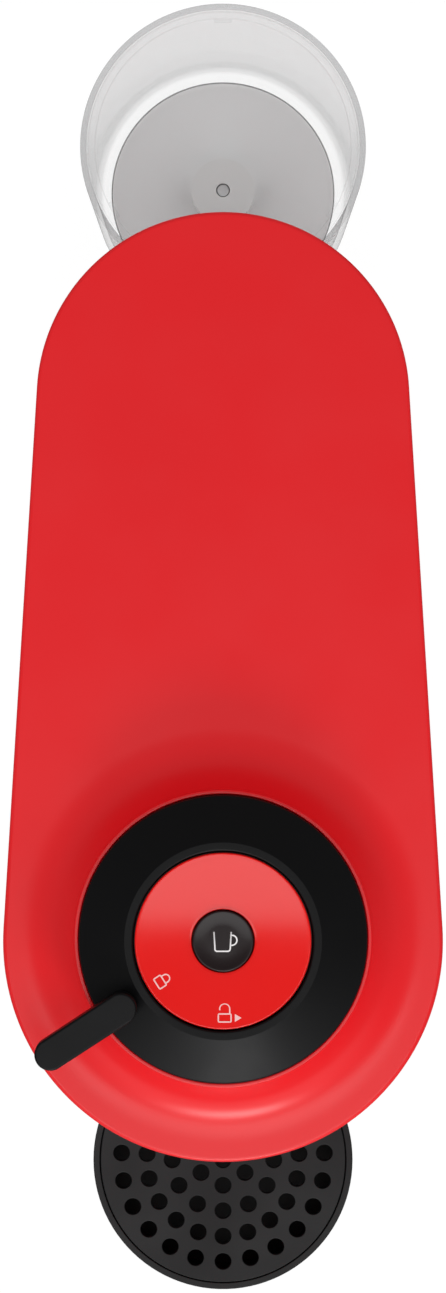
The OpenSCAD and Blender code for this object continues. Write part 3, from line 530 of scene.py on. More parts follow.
def ring_stack(name: str, rings: Sequence[Sequence[Vector]]) -> bpy.types.Object:
    """Makes a closed hollow solid by extruding one loop from ring to ring and back to the first.

    Args:
        name: The piece's name.
        rings: Loops of equally many points, in metres.

    Returns:
        The solid.
    """
    piece = start_mesh(bpy.ops.mesh.primitive_circle_add, vertices=len(rings[0]),
                       radius=rings[0][0].length)
    with editing(piece) as mesh:
        column = mesh.verts.layers.int.new("column")
        mesh.verts.ensure_lookup_table()
        for point in mesh.verts:
            point[column] = point.index
            point.co = rings[0][point.index]
        for ring in [*rings[1:], rings[0]]:
            bpy.ops.mesh.extrude_edges_move()
            mesh = bmesh.from_edit_mesh(piece.data)
            column = mesh.verts.layers.int["column"]
            for point in mesh.verts:
                if point.select:
                    point.co = ring[point[column]]
    piece.data.attributes.remove(piece.data.attributes["column"])
    return settle(piece, name)


def rounded(corners: Sequence[tuple[float, float, float]], steps: int = 5) -> list[tuple[float, float]]:
    """Rounds the corners of a closed section.

    Args:
        corners: Radius, height and rounding of each corner, in millimetres.
        steps: Segments in each rounding.

    Returns:
        The section's points, in millimetres.
    """
    section = []
    for i, (x, z, r) in enumerate(corners):
        here = Vector((x, z))
        if r == 0:
            section.append((x, z))
            continue
        before = (Vector(corners[i - 1][:2]) - here).normalized()
        after = (Vector(corners[(i + 1) % len(corners)][:2]) - here).normalized()
        half = before.angle(after) / 2
        middle = here + (before + after).normalized() * r / math.sin(half)
        start, end = here + before * r / math.tan(half), here + after * r / math.tan(half)
        first = math.atan2(start.y - middle.y, start.x - middle.x)
        turn = math.atan2(end.y - middle.y, end.x - middle.x) - first
        turn = (turn + math.pi) % (2 * math.pi) - math.pi
        section += [(middle.x + r * math.cos(first + turn * k / steps),
                     middle.y + r * math.sin(first + turn * k / steps)) for k in range(steps + 1)]
    return section


def turned(name: str, corners: Sequence[tuple[float, float, float]], centre: Vector,
           steps: int = 128) -> bpy.types.Object:
    """Spins a section with rounded corners round an upright axis.

    Args:
        name: The piece's name.
        corners: Radius, height and rounding of each corner, in millimetres.
        centre: A point of the axis, in metres.
        steps: Segments round the axis.

    Returns:
        The turned solid.
    """
    section = rounded(corners)
    piece = start_mesh(bpy.ops.mesh.primitive_circle_add, vertices=len(section),
                       radius=corners[0][0] * MM)
    with editing(piece) as mesh:
        mesh.verts.ensure_lookup_table()
        for point, (r, z) in zip(mesh.verts, section):
            point.co = (centre.x + r * MM, centre.y, z * MM)
        bpy.ops.mesh.spin(steps=steps, angle=2 * math.pi, center=(centre.x, centre.y, 0),
                          axis=(0, 0, 1), use_auto_merge=True)
    settle(piece, name)
    shade(piece)
    return piece


def softened(node: str, name: str, width: float, segments: int = 3,
             keep: Callable[[Vector], bool] | None = None) -> bpy.types.Object:
    """Copies a frame node and rolls its sharp edges over, as a moulded part's are.

    Args:
        node: The frame node to copy.
        name: The piece's name.
        width: Width of the rolled edges, in millimetres.
        segments: Segments across an edge.
        keep: Which places of the node to keep, or all.

    Returns:
        The copy, merged and softened.
    """
    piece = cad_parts[node].copy()
    piece.data = piece.data.copy()
    piece.parent = None
    piece.matrix_world = Matrix.Identity(4)
    bpy.context.scene.collection.objects.link(piece)
    with editing(piece) as mesh:
        bpy.ops.mesh.customdata_custom_splitnormals_clear()
        if keep:
            mesh = bmesh.from_edit_mesh(piece.data)
            select_where(mesh, lambda p: not keep(p))
            bpy.ops.mesh.delete(type="VERT")
            bpy.ops.mesh.select_all(action="SELECT")
        bpy.ops.mesh.remove_doubles(threshold=0.004 * MM)
        bpy.ops.mesh.dissolve_limited(angle_limit=math.radians(0.4))
    if width:
        modify(piece, "BEVEL", width=width * MM, segments=segments, limit_method="ANGLE",
               angle_limit=math.radians(38), miter_outer="MITER_ARC")
    piece.name = name
    piece.data.name = name
    shade(piece, 38)
    return piece


@dataclass
class Bench:
    """What every sub-assembly uses to dress a piece and put it on its body."""

    paints: Paintbox = field(default_factory=Paintbox)

    def dress(self, piece: bpy.types.Object, finish: Finish, body: str, slot: str,
              *nodes: str) -> bpy.types.Object:
        """Gives a piece its finish, its body and the nodes it stands for.

        Args:
            piece: The finished mesh.
            finish: Its surface.
            body: The frame body that carries it.
            slot: The record's material slot; not used.
            nodes: The frame nodes it replaces.

        Returns:
            The piece.
        """
        piece.data.materials.clear()
        piece.data.materials.append(self.paints.get(finish))
        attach(piece, body)
        if nodes:
            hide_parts(*nodes)
        LOG.info("%s rides on %s: %d faces", piece.name, body, len(piece.data.polygons))
        return piece


# ---- the head ----

@dataclass(frozen=True)
class PillOutline:
    """The head from above: a wide front circle and a narrower rear one, joined by tangents."""

    front_y: float
    front_r: float
    rear_y: float
    rear_r: float

    def tangent(self) -> float:
        """Gives the angle of the right side's outward normal."""
        return math.asin((self.front_r - self.rear_r) / (self.rear_y - self.front_y))

    def points(self, arc_steps: int = 96, side_steps: int = 56) -> list[tuple[Vector, Vector]]:
        """Walks anticlockwise round the outline.

        Args:
            arc_steps: Steps round each end.
            side_steps: Steps along each side.

        Returns:
            Each point in millimetres with its outward normal.
        """
        lean = self.tangent()
        walk = []
        for y, r, first, sweep in (
                (self.front_y, self.front_r, -math.pi - lean, math.pi + 2 * lean),
                (self.rear_y, self.rear_r, lean, math.pi - 2 * lean)):
            arc = [Vector((math.cos(first + sweep * k / arc_steps),
                           math.sin(first + sweep * k / arc_steps))) for k in range(arc_steps + 1)]
            walk.append([(Vector((0, y)) + n * r, n) for n in arc])
        outline = []
        for this, following in (walk, reversed(walk)):
            outline += this
            start, end = this[-1], following[0]
            outline += [(start[0].lerp(end[0], k / side_steps), start[1])
                        for k in range(1, side_steps)]
        return outline


@dataclass
class HeadLid:
    """The red lid: a flat-topped shell that rises round the dial like a low volcano."""

    bench: Bench
    rear_r: float = 57.5
    crest: PillOutline = PillOutline(-80.0, 67.0, 85.8, 57.05)
    wall: float = 2.5
    edge_r: float = 1.3
    front_rise: float = 33.0
    rear_rise: float = 23.0
    collar_r: float = 43.5
    rim: float = 1.3
    rim_drop: float = 2.0
    skirt: float = 18.5
    skirt_power: float = 2.7
    skirt_crowding: float = 1.35
    seat_depth: float = 2.1
    seat_width: float = 3.4
    seat_wall: float = 6.0
    lip: float = 0.35
    mid_rise: float = 9.0
    skirt_rings: int = 26
    top_rings: int = 22

    def __post_init__(self) -> None:
        """Reads the lid's place from the frame."""
        low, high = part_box("lid_shell")
        front_r = high.x / MM
        self.seam = low.z / MM
        self.collar_top = high.z / MM
        self.outline = PillOutline(low.y / MM + front_r, front_r, high.y / MM - self.rear_r,
                                   self.rear_r)
        dial_low, dial_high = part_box("dial_disc")
        self.dial = Vector(((dial_low.x + dial_high.x) / 2 / MM, (dial_low.y + dial_high.y) / 2 / MM))

    def deck(self, y: float) -> float:
        """Gives the height of the lid's broad top.

        Args:
            y: Distance along the machine, in millimetres.

        Returns:
            The height in millimetres.
        """
        rear = self.outline.rear_y + self.outline.rear_r
        front = self.outline.front_y - self.outline.front_r
        share = (rear - y) / (rear - front)
        return self.seam + self.rear_rise + (self.front_rise - self.rear_rise) * share

    def height(self, place: Vector, thickness: float = 0.0) -> float:
        """Gives the height of the outer face, or of the inner one a wall further in.

        Args:
            place: Where, seen from above, in millimetres.
            thickness: How far inside the outer face.

        Returns:
            The height in millimetres.
        """
        deck = self.deck(place.y)
        out = (place - self.dial).length - self.collar_r - self.rim + thickness
        share = min(max(out / self.skirt, 0.0), 1.0)
        top = self.collar_top - self.rim_drop
        return deck + (top - deck) * (1 - share) ** self.skirt_power - thickness

    def rings(self) -> list[list[Vector]]:
        """Lists the loops of the shell, from its collar outwards, round the edge and back inside.

        Returns:
            The loops, in metres.
        """
        rim_r, bore_r = self.collar_r + self.rim, self.collar_r - self.seat_width
        walk = list(zip(self.outline.points(), self.crest.points()))
        rays = [((p - self.dial).normalized(), p, n) for _, (p, n) in walk]

        def level(radius: float, z: float) -> list[Vector]:
            """A level circle round the dial."""
            return [Vector((*(self.dial + ray * radius), z)) for ray, _, _ in rays]

        def draped(place: Callable[[Vector, Vector, Vector], Vector], thickness: float) -> list[Vector]:
            """A loop laid on the outer or the inner face."""
            spots = [place(*ray) for ray in rays]
            return [Vector((*spot, self.height(spot, thickness))) for spot in spots]

        def round_dial(reach: float, thickness: float) -> list[Vector]:
            """A loop at one distance outside the collar's rim."""
            radius = rim_r + reach
            return draped(lambda ray, edge, normal: self.dial + ray * radius, thickness)

        def across_top(share: float, inset: float, thickness: float) -> list[Vector]:
            """A loop part of the way from the skirt's foot to the outline."""
            radius = rim_r + self.skirt
            return draped(lambda ray, edge, normal: (self.dial + ray * radius).lerp(
                edge - normal * inset, share), thickness)

        def upright(inset: float, drop: float, z: float | None = None) -> list[Vector]:
            """A loop round the drafted wall.

            Args:
                inset: Distance inside the outline, in millimetres.
                drop: Distance below the broad top.
                z: One level for the whole loop instead.

            Returns:
                The loop, in millimetres.
            """
            loop = []
            for (foot, normal), (crest, _) in walk:
                top = self.deck(crest.y)
                share = 1.0 if z is None else (z - self.seam) / (top - self.seam)
                spot = foot.lerp(crest, share) - normal * inset
                loop.append(Vector((*spot, self.deck(spot.y) - drop if z is None else z)))
            return loop

        seat = self.collar_top - self.seat_depth
        soft, quarter = self.lip, math.pi / 2
        rings = [level(bore_r, seat), level(self.collar_r - 0.4, seat),
                 level(self.collar_r - 0.1, seat + 0.1), level(self.collar_r, seat + 0.4),
                 level(self.collar_r, self.collar_top - soft)]
        rings += [level(self.collar_r + soft * (1 - math.cos(a)),
                        self.collar_top - soft * (1 - math.sin(a))) for a in (0.5, 1.0, quarter)]
        rings += [level(rim_r - soft * (1 - math.sin(a)),
                        self.collar_top - soft * (1 - math.cos(a))) for a in (0, 0.5, 1.0, quarter)]
        rings += [level(rim_r, self.collar_top - self.rim_drop + 0.3)]
        rings += [round_dial(self.skirt * (k / self.skirt_rings) ** self.skirt_crowding, 0)
                  for k in range(1, self.skirt_rings + 1)]
        rings += [across_top(k / self.top_rings, self.edge_r, 0) for k in range(1, self.top_rings + 1)]
        rings += [upright(self.edge_r * (1 - math.sin(a)), self.edge_r * (1 - math.cos(a)))
                  for a in (math.pi * k / 16 for k in range(1, 8))]
        rings += [upright(0, self.edge_r), upright(0, 0, self.seam + self.mid_rise),
                  upright(0, 0, self.seam + 0.5), upright(0.15, 0, self.seam + 0.15),
                  upright(0.5, 0, self.seam)]
        rings += [upright(self.wall, 0, self.seam), upright(self.wall, 0, self.seam + self.mid_rise),
                  upright(self.wall, self.wall + 1)]
        rings += [across_top(k / 8, self.wall + 1.0, self.wall) for k in range(8, 0, -1)]
        rings += [round_dial(self.skirt * k / 6, self.wall) for k in range(6, 0, -1)]
        rings += [level(self.collar_r + 0.6, self.collar_top - self.seat_wall),
                  level(bore_r, self.collar_top - self.seat_wall)]
        return [[point * MM for point in ring] for ring in rings]

    def build(self) -> None:
        """Makes the lid and puts it on its body."""
        lid = ring_stack("head_lid", self.rings())
        shade(lid, 50)
        self.bench.dress(lid, RED_ABS, "lid", "red_plastic", "lid_shell")


@dataclass
class DialGroup:
    """The dial: a textured lever ring round a gloss disc with a button in its middle."""

    bench: Bench
    ring_r: float = 43.3
    ring_height: float = 11.8
    cone_rise: float = 7.6
    lip_r: float = 29.5
    bore_r: float = 27.0
    disc_thickness: float = 2.4
    disc_curve: float = 400.0
    button_gap: float = 0.3
    key_dish: float = 0.3
    key_depth: float = 5.4
    wall: float = 3.3
    bayonet_drop: float = 10.0
    bayonet_r: float = 38.0

    def __post_init__(self) -> None:
        """Reads the dial's levels from the frame."""
        self.disc_low, self.disc_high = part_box("dial_disc")
        self.button_low, self.button_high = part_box("brew_button")
        self.centre = (self.disc_low + self.disc_high) / 2
        self.lip_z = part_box("lever_ring")[1].z / MM

    def build(self) -> None:
        """Makes the ring, the disc and the button."""
        self.lever_ring()
        self.face()
        self.button()

    def lever_ring(self) -> None:
        """Spins the ring's cone and lip, and keeps the bayonet below it."""
        lip, foot = self.lip_z, self.lip_z - self.ring_height
        edge = lip - self.cone_rise
        ring = turned("ring_top", [
            (self.ring_r, foot, 0.3), (self.ring_r, edge + 0.2, 1.0), (self.lip_r, lip, 0.35),
            (self.bore_r, lip, 0.5), (self.bore_r, lip - 6, 0.2), (self.lip_r - 0.6, lip - 6, 0.2),
            (self.lip_r - 0.2, lip - 3.2, 0.5), (self.ring_r - self.wall, edge - 1.4, 1.0),
            (self.ring_r - self.wall, foot, 0.3)], self.centre, 160)
        deep, narrow = (foot - self.bayonet_drop) * MM, self.bayonet_r * MM
        bayonet = softened("lever_ring", "bayonet", 0, keep=lambda p: p.z < (foot + 1) * MM
                           and (p.z < deep or (p - self.centre).xy.length < narrow))
        piece = join("control_ring", [ring, bayonet])
        self.bench.dress(piece, RING_PP, "lever", "ring_plastic", "lever_ring")

    def face(self) -> None:
        """Turns the gloss disc with its soft outer and inner edges."""
        top = self.disc_high.z / MM
        radius = (self.disc_high.x - self.centre.x) / MM
        hole = (self.button_high.x - self.centre.x) / MM + self.button_gap
        foot = top - self.disc_thickness
        dish = [(r, top - (radius ** 2 - r ** 2) / (2 * self.disc_curve), 0)
                for r in (radius - 1 - (radius - hole - 2) * k / 12 for k in range(13))]
        low = dish[-1][1]
        disc = turned("dial_face", [(hole, foot, 0), (radius, foot, 0), (radius, top, 0.45), *dish,
                                    (hole, low - 0.02, 0.35)], self.centre)
        self.bench.dress(disc, GLOSS_RED, "lid", "gloss_red", "dial_disc")

    def button(self) -> None:
        """Turns the button with its dished top and its stem."""
        top = self.button_high.z / MM
        radius = (self.button_high.x - self.centre.x) / MM
        cap = top - self.key_depth
        flat = radius / 2
        piece = turned("brew_key", [
            (0, self.button_low.z / MM, 0), (2, self.button_low.z / MM, 0), (2, cap, 0.3),
            (radius, cap, 0.3), (radius, top, 0.35),
            *[(r, top - self.key_dish * (1 - ((r - flat) / (radius - flat)) ** 2), 0)
              for r in (flat + (radius - 1 - flat) * (1 - k / 8) for k in range(9))],
            (0, top - self.key_dish, 0)], self.centre, 96)
        self.bench.dress(piece, BUTTON_PC, "button", "button_plastic", "brew_button")


@dataclass
class LeverBar:
    """The flat-topped bar on the ring, swept back from the front to the left."""

    bench: Bench
    angle: float = 213.0
    width: float = 9.5
    start: float = 31.4
    reach: float = 65.9
    tip_depth: float = 7.6
    root_depth: float = 11.0
    root_length: float = 6.0
    edge: float = 0.7

    def build(self) -> None:
        """Extrudes a round-ended bar, tapers its underside and rolls its edges."""
        dial_low, dial_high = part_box("dial_disc")
        centre = (dial_low + dial_high) / 2
        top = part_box("lever_grip")[1].z
        half = self.width / 2
        bar = start_mesh(bpy.ops.mesh.primitive_circle_add, vertices=64, radius=half * MM,
                         fill_type="NGON", location=(0, 0, 0))
        length = (self.reach - self.start - self.width) * MM
        with editing(bar) as mesh:
            select_where(mesh, lambda p: p.x > 1e-6)
            bpy.ops.transform.translate(value=(length, 0, 0))
            bpy.ops.mesh.select_all(action="SELECT")
            bpy.ops.mesh.extrude_region_move(
                TRANSFORM_OT_translate={"value": (0, 0, -self.root_depth * MM)})
            mesh = bmesh.from_edit_mesh(bar.data)
            slope = (self.root_depth - self.tip_depth) * MM / length
            for point in mesh.verts:
                if point.select:
                    point.co.z += max(point.co.x - self.root_length * MM, 0) * slope
        modify(bar, "BEVEL", width=self.edge * MM, segments=4, limit_method="ANGLE",
               angle_limit=math.radians(40))
        bar.location = centre.xy.to_3d() + Vector((0, 0, top))
        bar.rotation_euler = (0, 0, math.radians(self.angle))
        turn = Matrix.Rotation(math.radians(self.angle), 4, "Z")
        bar.location += turn @ Vector(((self.start + half) * MM, 0, 0))
        settle(bar, "lever_bar")
        shade(bar)
        self.bench.dress(bar, RING_PP, "lever", "ring_plastic", "lever_grip")


class Mark(Enum):
    """The printed signs of the dial, each with its piece's name."""

    CUP = "cup_print"
    CLOSED = "closed_padlock_print"
    OPEN = "open_padlock_print"
    ARROW = "arrow_print"


@dataclass
class DialPrint:
    """The screen-printed signs: a cup on the button, two padlocks and an arrow on the disc."""

    bench: Bench
    disc_curve: float
    key_dish: float
    lever_angle: float
    line: float = 0.46
    film: float = 0.03
    lock_reach: float = 22.4
    open_lock_place: tuple[float, float] = (0.5, -22.9)
    arrow_place: tuple[float, float] = (4.2, -22.9)
    arrow_r: float = 1.35

    def arc(self, x: float, y: float, r: float, first: float, last: float,
            steps: int = 14) -> list[tuple[float, float]]:
        """Gives the points of an arc.

        Args:
            x: Its centre's first coordinate, in millimetres.
            y: Its centre's second coordinate.
            r: Its radius.
            first: The angle where it starts, in degrees.
            last: The angle where it ends.
            steps: Its segments.

        Returns:
            The points, in millimetres.
        """
        return [(x + r * math.cos(math.radians(first + (last - first) * k / steps)),
                 y + r * math.sin(math.radians(first + (last - first) * k / steps)))
                for k in range(steps + 1)]

    def strokes(self, mark: Mark) -> list[list[tuple[float, float]]]:
        """Draws a sign round the middle of its body, in millimetres.

        Args:
            mark: Which sign.

        Returns:
            Its strokes as lists of points.
        """
        if mark is Mark.CUP:
            bowl = [(-2.7, 2.8), (-2.4, -2.2), *self.arc(-1.7, -2.25, 0.75, 185, 270, 6),
                    *self.arc(1.4, -2.25, 0.75, 270, 355, 6), (2.45, 2.8)]
            handle = [(2.35, 1.8), *self.arc(2.65, 0.3, 1.5, 90, -90, 14), (2.3, -1.2)]
            return [bowl, handle]
        half = 1.75 if mark is Mark.CLOSED else 1.9
        bend = 0.3
        body = [*self.arc(half - bend, -1.2 + bend, bend, -90, 0, 4),
                *self.arc(half - bend, 1.2 - bend, bend, 0, 90, 4),
                *self.arc(bend - half, 1.2 - bend, bend, 90, 180, 4),
                *self.arc(bend - half, -1.2 + bend, bend, 180, 270, 4)]
        body.append(body[0])
        if mark is Mark.CLOSED:
            return [body, [(-1.2, 1.2), *self.arc(0, 2.0, 1.2, 180, 0), (1.2, 1.2)]]
        return [body, [(1.5, 1.2), (1.5, 2.7), *self.arc(0, 2.7, 1.5, 0, 195)]]

    def print_mark(self, mark: Mark, spot: Vector, normal: Vector, turn: float, finish: Finish,
                   body: str, slot: str) -> None:
        """Lays a sign's ink on a surface, sunk to half of its film.

        Args:
            mark: Which sign.
            spot: Its middle on the surface, in metres.
            normal: The surface's own direction there.
            turn: Its turn in degrees.
            finish: The ink.
            body: The body that carries it.
            slot: The record's material slot.
        """
        if mark is Mark.ARROW:
            piece = start_mesh(bpy.ops.mesh.primitive_cylinder_add, vertices=3,
                               radius=self.arrow_r * MM, depth=2 * self.film * MM,
                               rotation=(0, 0, -math.pi / 2))
        else:
            curve = bpy.data.curves.new(mark.value, "CURVE")
            curve.dimensions = "3D"
            curve.bevel_depth = self.line / 2 * MM
            curve.bevel_resolution = 2
            curve.use_fill_caps = True
            for stroke in self.strokes(mark):
                spline = curve.splines.new("POLY")
                spline.points.add(len(stroke) - 1)
                for point, (x, y) in zip(spline.points, stroke):
                    point.co = (x * MM, y * MM, 0, 1)
            piece = bpy.data.objects.new(mark.value, curve)
            bpy.context.scene.collection.objects.link(piece)
            select_only(piece)
            bpy.ops.object.convert(target="MESH")
            piece.scale = (1, 1, 2 * self.film / self.line)
        bpy.ops.object.transform_apply(location=False, rotation=True, scale=True)
        tilt = Z_AXIS.rotation_difference(normal).to_matrix()
        lie = tilt @ Matrix.Rotation(math.radians(turn), 3, "Z")
        piece.rotation_euler = lie.to_euler()
        piece.location = spot
        settle(piece, mark.value, 0.0005)
        self.bench.dress(piece, finish, body, slot)

    def build(self) -> None:
        """Prints all four signs."""
        low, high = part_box("dial_disc")
        radius = (high.x - low.x) / 2
        middle = (low + high) / 2
        angle = math.radians(self.lever_angle)
        locked = Vector((math.cos(angle), math.sin(angle))) * self.lock_reach * MM
        unlocked, arrow = (Vector(place) * MM for place in (self.open_lock_place, self.arrow_place))
        key_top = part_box("brew_button")[1].z - self.key_dish * MM
        self.print_mark(Mark.CUP, Vector((middle.x, middle.y, key_top)), Z_AXIS, 0, WHITE_INK,
                        "button", "button_plastic")
        for mark, spot, turn in ((Mark.CLOSED, locked, self.lever_angle + 90),
                                 (Mark.OPEN, unlocked, 0), (Mark.ARROW, arrow, 0)):
            sag = (radius ** 2 - spot.length ** 2) / (2 * self.disc_curve * MM)
            place = Vector((middle.x + spot.x, middle.y + spot.y, high.z - sag))
            normal = Vector((*-spot, self.disc_curve * MM)).normalized()
            self.print_mark(mark, place, normal, turn, PINK_INK, "lid", "gloss_red")


# ---- body, tray and tank ----

@dataclass
class Casings:
    """The fixed casings and the drawer, their moulded edges rolled over."""

    bench: Bench
    edge: float = 0.6
    pad_r: float = 44.6
    pad_bore: float = 38.5
    pad_share: float = 0.875

    def build(self) -> None:
        """Softens each casing and dresses it."""
        for node, name, width, body, finish, slot in (
                ("column_shell", "column_casing", self.edge, "base", RED_ABS, "red_plastic"),
                ("lower_head", "head_underside", 0.4, "base", RED_ABS, "red_plastic"),
                ("base_pan", "base_casing", self.edge, "base", BLACK_ABS, "black_plastic"),
                ("rear_cover", "vented_rear_cover", 0.3, "base", BLACK_ABS, "black_plastic"),
                ("capsule_bin", "capsule_drawer", self.edge, "drip_unit", BLACK_ABS, "black_plastic"),
                ("drip_bowl", "tray_bowl", 0.5, "drip_unit", TRAY_PP, "black_plastic"),
                ("drip_grid", "tray_grille", 0.28, "grid", TRAY_PP, "grid_plastic")):
            casing = softened(node, name, width)
            if node == "base_pan":
                self.trim_pad(casing)
            self.bench.dress(casing, finish, body, slot, node)

    def trim_pad(self, casing: bpy.types.Object) -> None:
        """Draws the pad's rim in under the tank's frosted floor, so that no black shows beside it.

        Args:
            casing: The base casing.
        """
        low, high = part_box("water_tank")
        axis = ((low + high) / 2).xy
        with editing(casing) as mesh:
            found = select_where(
                mesh, lambda p: self.pad_bore < (p.xy - axis).length / MM < self.pad_r)
            bpy.ops.transform.resize(value=(self.pad_share, self.pad_share, 1),
                                     center_override=(axis.x, axis.y, 0))
        LOG.info("%d points of the tank's pad drawn in", found)


@dataclass
class Tank:
    """The clear round tank with its lift-off cap."""

    bench: Bench
    foot_r: float = 44.4
    wall: float = 2.0
    floor: float = 3.0
    floor_r: float = 38.5
    step: float = 0.6
    step_slope: float = 0.4
    corner: float = 4.0
    fillet: float = 3.4
    spout_r: float = 8.2
    bore_r: float = 5.0
    spout_length: float = 4.0
    cap_gap: float = 0.3
    cap_web: float = 1.6
    cap_rim: float = 2.2
    catch_angles: tuple[float, ...] = (90.0, 210.0, 330.0)
    catch_size: tuple[float, float, float] = (0.9, 5.6, 1.0)
    catch_edge: float = 0.3
    catch_lift: float = 0.45

    def __post_init__(self) -> None:
        """Reads the tank's place from the frame."""
        low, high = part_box("water_tank")
        self.centre = (low + high) / 2
        self.radius = (high.x - low.x) / 2 / MM
        self.top = high.z / MM
        self.foot = low.z / MM + self.spout_length

    def build(self) -> None:
        """Turns the tank and the cap, and adds the cap's catches."""
        self.jug()
        self.cap()

    def jug(self) -> None:
        """Turns the tank: a straight wall, a rounded foot and a sunk flat floor."""
        inside = self.radius - self.wall
        shelf = self.foot + self.floor + self.step
        spout = self.foot - self.spout_length
        step_r = self.floor_r + self.step_slope
        jug = turned("clear_tank", [
            (self.bore_r, spout, 0.3), (self.spout_r, spout, 0.3), (self.spout_r, self.foot, 0.3),
            (self.foot_r, self.foot, self.corner), (self.radius, self.top, 0.6),
            (inside, self.top, 0.6), (self.foot_r - self.wall, shelf, self.fillet),
            (step_r, shelf, 0.1), (self.floor_r, shelf - self.step, 0.1),
            (self.bore_r, shelf - self.step, 0.3)], self.centre, 160)
        self.bench.dress(jug, CLEAR_TANK, "tank", "clear_plastic", "water_tank")
        axis, floor = self.centre.xy, (self.foot + self.floor / 2) * MM
        # The floor is frosted, and the step round it is painted with a dark shade line.
        for finish, inner, outer in ((FROSTED_TANK, 0, self.floor_r),
                                     (STEP_PAINTED_SHADE, self.floor_r, step_r)):
            repaint(jug, self.bench.paints.get(finish), lambda p: floor < p.z < (shelf + 0.01) * MM
                    and inner * MM < (p.xy - axis).length < outer * MM)
        # The top of the rim is painted with a grey shade.
        repaint(jug, self.bench.paints.get(RIM_PAINTED_SHADE), lambda p: p.z > (self.top - 0.5) * MM)

    def cap(self) -> None:
        """Turns the cap with its raised rim, and sets a raised catch over each of the tank's lugs."""
        edge = self.radius - self.wall - self.cap_gap
        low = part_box("tank_lid")[0].z / MM
        web, inside = low + self.cap_web, edge - self.cap_rim
        cap = turned("cap_disc", [
            (0, low, 0), (edge - 0.2, low, 0.4), (edge, self.top, 0.4), (inside, self.top, 0.4),
            (inside - 0.4, web, 0.4), (0, web, 0)], self.centre, 160)
        catches = [self.catch(angle, inside - 1.0, web) for angle in self.catch_angles]
        cap = join("clear_tank_cap", [cap, *catches])
        self.bench.dress(cap, CLEAR_TANK, "tank_cover", "clear_plastic", "tank_lid")

    def catch(self, angle: float, reach: float, floor: float) -> bpy.types.Object:
        """Makes one raised catch: a short bar with rounded edges.

        Args:
            angle: Its direction from the tank's middle, in degrees.
            reach: Its distance from the middle, in millimetres.
            floor: Height that it stands on, in millimetres.

        Returns:
            The catch.
        """
        bar = start_mesh(bpy.ops.mesh.primitive_cube_add, size=MM)
        bar.scale = self.catch_size
        bpy.ops.object.transform_apply(location=False, rotation=False, scale=True)
        modify(bar, "BEVEL", width=self.catch_edge * MM, segments=3)
        turn = math.radians(angle)
        bar.rotation_euler = (0, 0, turn)
        bar.location = (self.centre.x + reach * MM * math.cos(turn),
                        self.centre.y + reach * MM * math.sin(turn), (floor + self.catch_lift) * MM)
        settle(bar, "catch")
        shade(bar)
        return bar


@dataclass
class Works:
    """Every frame node that stays, in the finish of its material slot."""

    bench: Bench

    def build(self) -> None:
        """Paints the nodes that no piece replaces."""
        for name, node in sorted(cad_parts.items()):
            if node.hide_render:
                continue
            for held in node.material_slots:
                finish = SLOT_FINISHES[held.material.name.split(".")[0]]
                held.material = self.bench.paints.get(finish)
            LOG.info("%s keeps its shape", name)


# ---- stage, light and camera ----

@dataclass(frozen=True)
class SoftBox:
    """A rectangular soft box.

    Attributes:
        name: The lamp's name.
        place: Its middle, in metres.
        aim: What it points at, in metres.
        size: Width and depth, in metres.
        radiance: Light it gives, where 1 shows as white.
    """

    name: str
    place: tuple[float, float, float]
    aim: tuple[float, float, float]
    size: tuple[float, float]
    radiance: float

    def hang(self) -> None:
        """Hangs the box over the stage and turns it to its aim."""
        lamp = bpy.data.lights.new(self.name, "AREA")
        lamp.shape = "RECTANGLE"
        lamp.size, lamp.size_y = self.size
        lamp.energy = self.radiance * math.pi * lamp.size * lamp.size_y
        holder = bpy.data.objects.new(self.name, lamp)
        bpy.context.scene.collection.objects.link(holder)
        holder.location = self.place
        holder.rotation_euler = (Vector(self.aim) - holder.location).to_track_quat("-Z", "Y").to_euler()


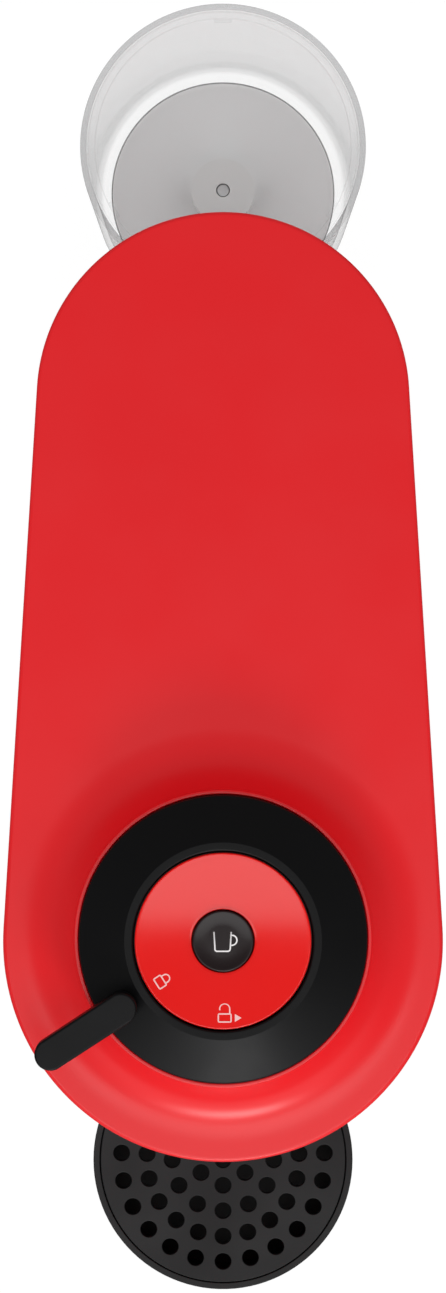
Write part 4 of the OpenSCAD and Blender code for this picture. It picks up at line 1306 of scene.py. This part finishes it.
@dataclass
class Studio:
    """A white floor, two soft boxes and a camera that looks straight down."""

    camera_height: float = 1.471
    camera_y: float = 0.0097
    focal_px: float = 4116.0
    frame_px: tuple[int, int] = (446, 1293)
    floor_size: float = 12.0
    floor_drop: float = 0.0002
    paper: str = "f4f4f4"
    # the paper as gloss mirrors it: a painted darker shade in its reflections
    mirrored_paper: str = "6e6e6e"
    glow: float = 1.03
    glow_share: float = 0.95
    room_light: float = 0.62
    mirrored_front: float = 1.0
    mirrored_rear: float = 0.17
    mirror_fade: tuple[float, float] = (-0.35, -0.9)
    boxes: tuple[SoftBox, ...] = (
        SoftBox("overhead_softbox", (0, -0.729, 1.9), (0, -0.729, 0), (1.3, 1.0), 2.15),
        SoftBox("front_softbox", (0.06, -1.25, 0.95), (0, -0.08, 0.22), (0.62, 0.3), 9.5))

    def build(self) -> None:
        """Sets up the floor, the lamps, the world and the camera."""
        self.floor()
        self.world()
        for box in self.boxes:
            box.hang()
        self.camera()
        bpy.context.scene.view_settings.view_transform = "Standard"

    def floor(self) -> None:
        """Lays a white floor that shows as paper and still takes a soft shadow; in gloss it shows a
        painted darker grey.
        """
        floor = start_mesh(bpy.ops.mesh.primitive_plane_add, size=self.floor_size,
                           location=(0, 0, -self.floor_drop))
        floor.name = "floor"
        paper = bpy.data.materials.new("white_paper_floor")
        paper.use_nodes = True
        tree = paper.node_tree
        tree.nodes.clear()
        eye = add_node(tree, "ShaderNodeLightPath")
        tone = add_node(tree, "ShaderNodeMix", {
            "data_type": "RGBA", 6: linear(self.paper), 7: linear(self.mirrored_paper)},
            {0: eye.outputs["Is Glossy Ray"]})
        matt = add_node(tree, "ShaderNodeBsdfDiffuse", {}, {"Color": tone.outputs[2]})
        glow = add_node(tree, "ShaderNodeEmission", {"Color": (1, 1, 1, 1), "Strength": self.glow})
        share = add_node(tree, "ShaderNodeMath", {"operation": "MULTIPLY", 1: self.glow_share},
                         {0: eye.outputs["Is Camera Ray"]})
        mix = add_node(tree, "ShaderNodeMixShader", {}, {
            0: share.outputs["Value"], 1: matt.outputs["BSDF"], 2: glow.outputs["Emission"]})
        add_node(tree, "ShaderNodeOutputMaterial", {}, {"Surface": mix.outputs["Shader"]})
        floor.data.materials.append(paper)

    def world(self) -> None:
        """Fills the room with an even pale light, which gloss mirrors only towards the front."""
        world = bpy.data.worlds.new("pale_room")
        bpy.context.scene.world = world
        world.use_nodes = True
        tree = world.node_tree
        sky = find_node(tree, "BACKGROUND")
        sky.inputs["Color"].default_value = (1, 1, 1, 1)
        aim = add_node(tree, "ShaderNodeTexCoord").outputs["Generated"]
        front = add_node(tree, "ShaderNodeSeparateXYZ", {}, {"Vector": aim}).outputs["Y"]
        fade = add_node(tree, "ShaderNodeMapRange", {
            "interpolation_type": "SMOOTHSTEP",
            "From Min": self.mirror_fade[0], "From Max": self.mirror_fade[1],
            "To Min": self.mirrored_rear, "To Max": self.mirrored_front}, {"Value": front})
        ray = add_node(tree, "ShaderNodeLightPath")
        pick = add_node(tree, "ShaderNodeMix", {"data_type": "FLOAT", 2: self.room_light},
                        {0: ray.outputs["Is Glossy Ray"], 3: fade.outputs["Result"]})
        tree.links.new(pick.outputs[0], sky.inputs["Strength"])

    def camera(self) -> None:
        """Hangs the camera over the machine, its long side along the machine."""
        lens = bpy.data.cameras.new("overhead_camera")
        lens.sensor_fit = "VERTICAL"
        lens.sensor_height = 36.0
        lens.lens = lens.sensor_height * self.focal_px / self.frame_px[1]
        lens.clip_start, lens.clip_end = 0.05, 20.0
        holder = bpy.data.objects.new("overhead_camera", lens)
        bpy.context.scene.collection.objects.link(holder)
        holder.location = (0, self.camera_y, self.camera_height)
        bpy.context.scene.camera = holder


def main() -> None:
    """Builds the studio and dresses the machine, one sub-assembly after the other."""
    logging.basicConfig(level=logging.INFO, format="%(name)s: %(message)s")
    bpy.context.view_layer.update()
    bench = Bench()
    Studio().build()
    dial, bar = DialGroup(bench), LeverBar(bench)
    signs = DialPrint(bench, dial.disc_curve, dial.key_dish, bar.angle)
    for assembly in (HeadLid(bench), dial, bar, signs, Casings(bench), Tank(bench), Works(bench)):
        LOG.info("building %s", type(assembly).__name__)
        assembly.build()


if __name__ == "__main__":
    main()
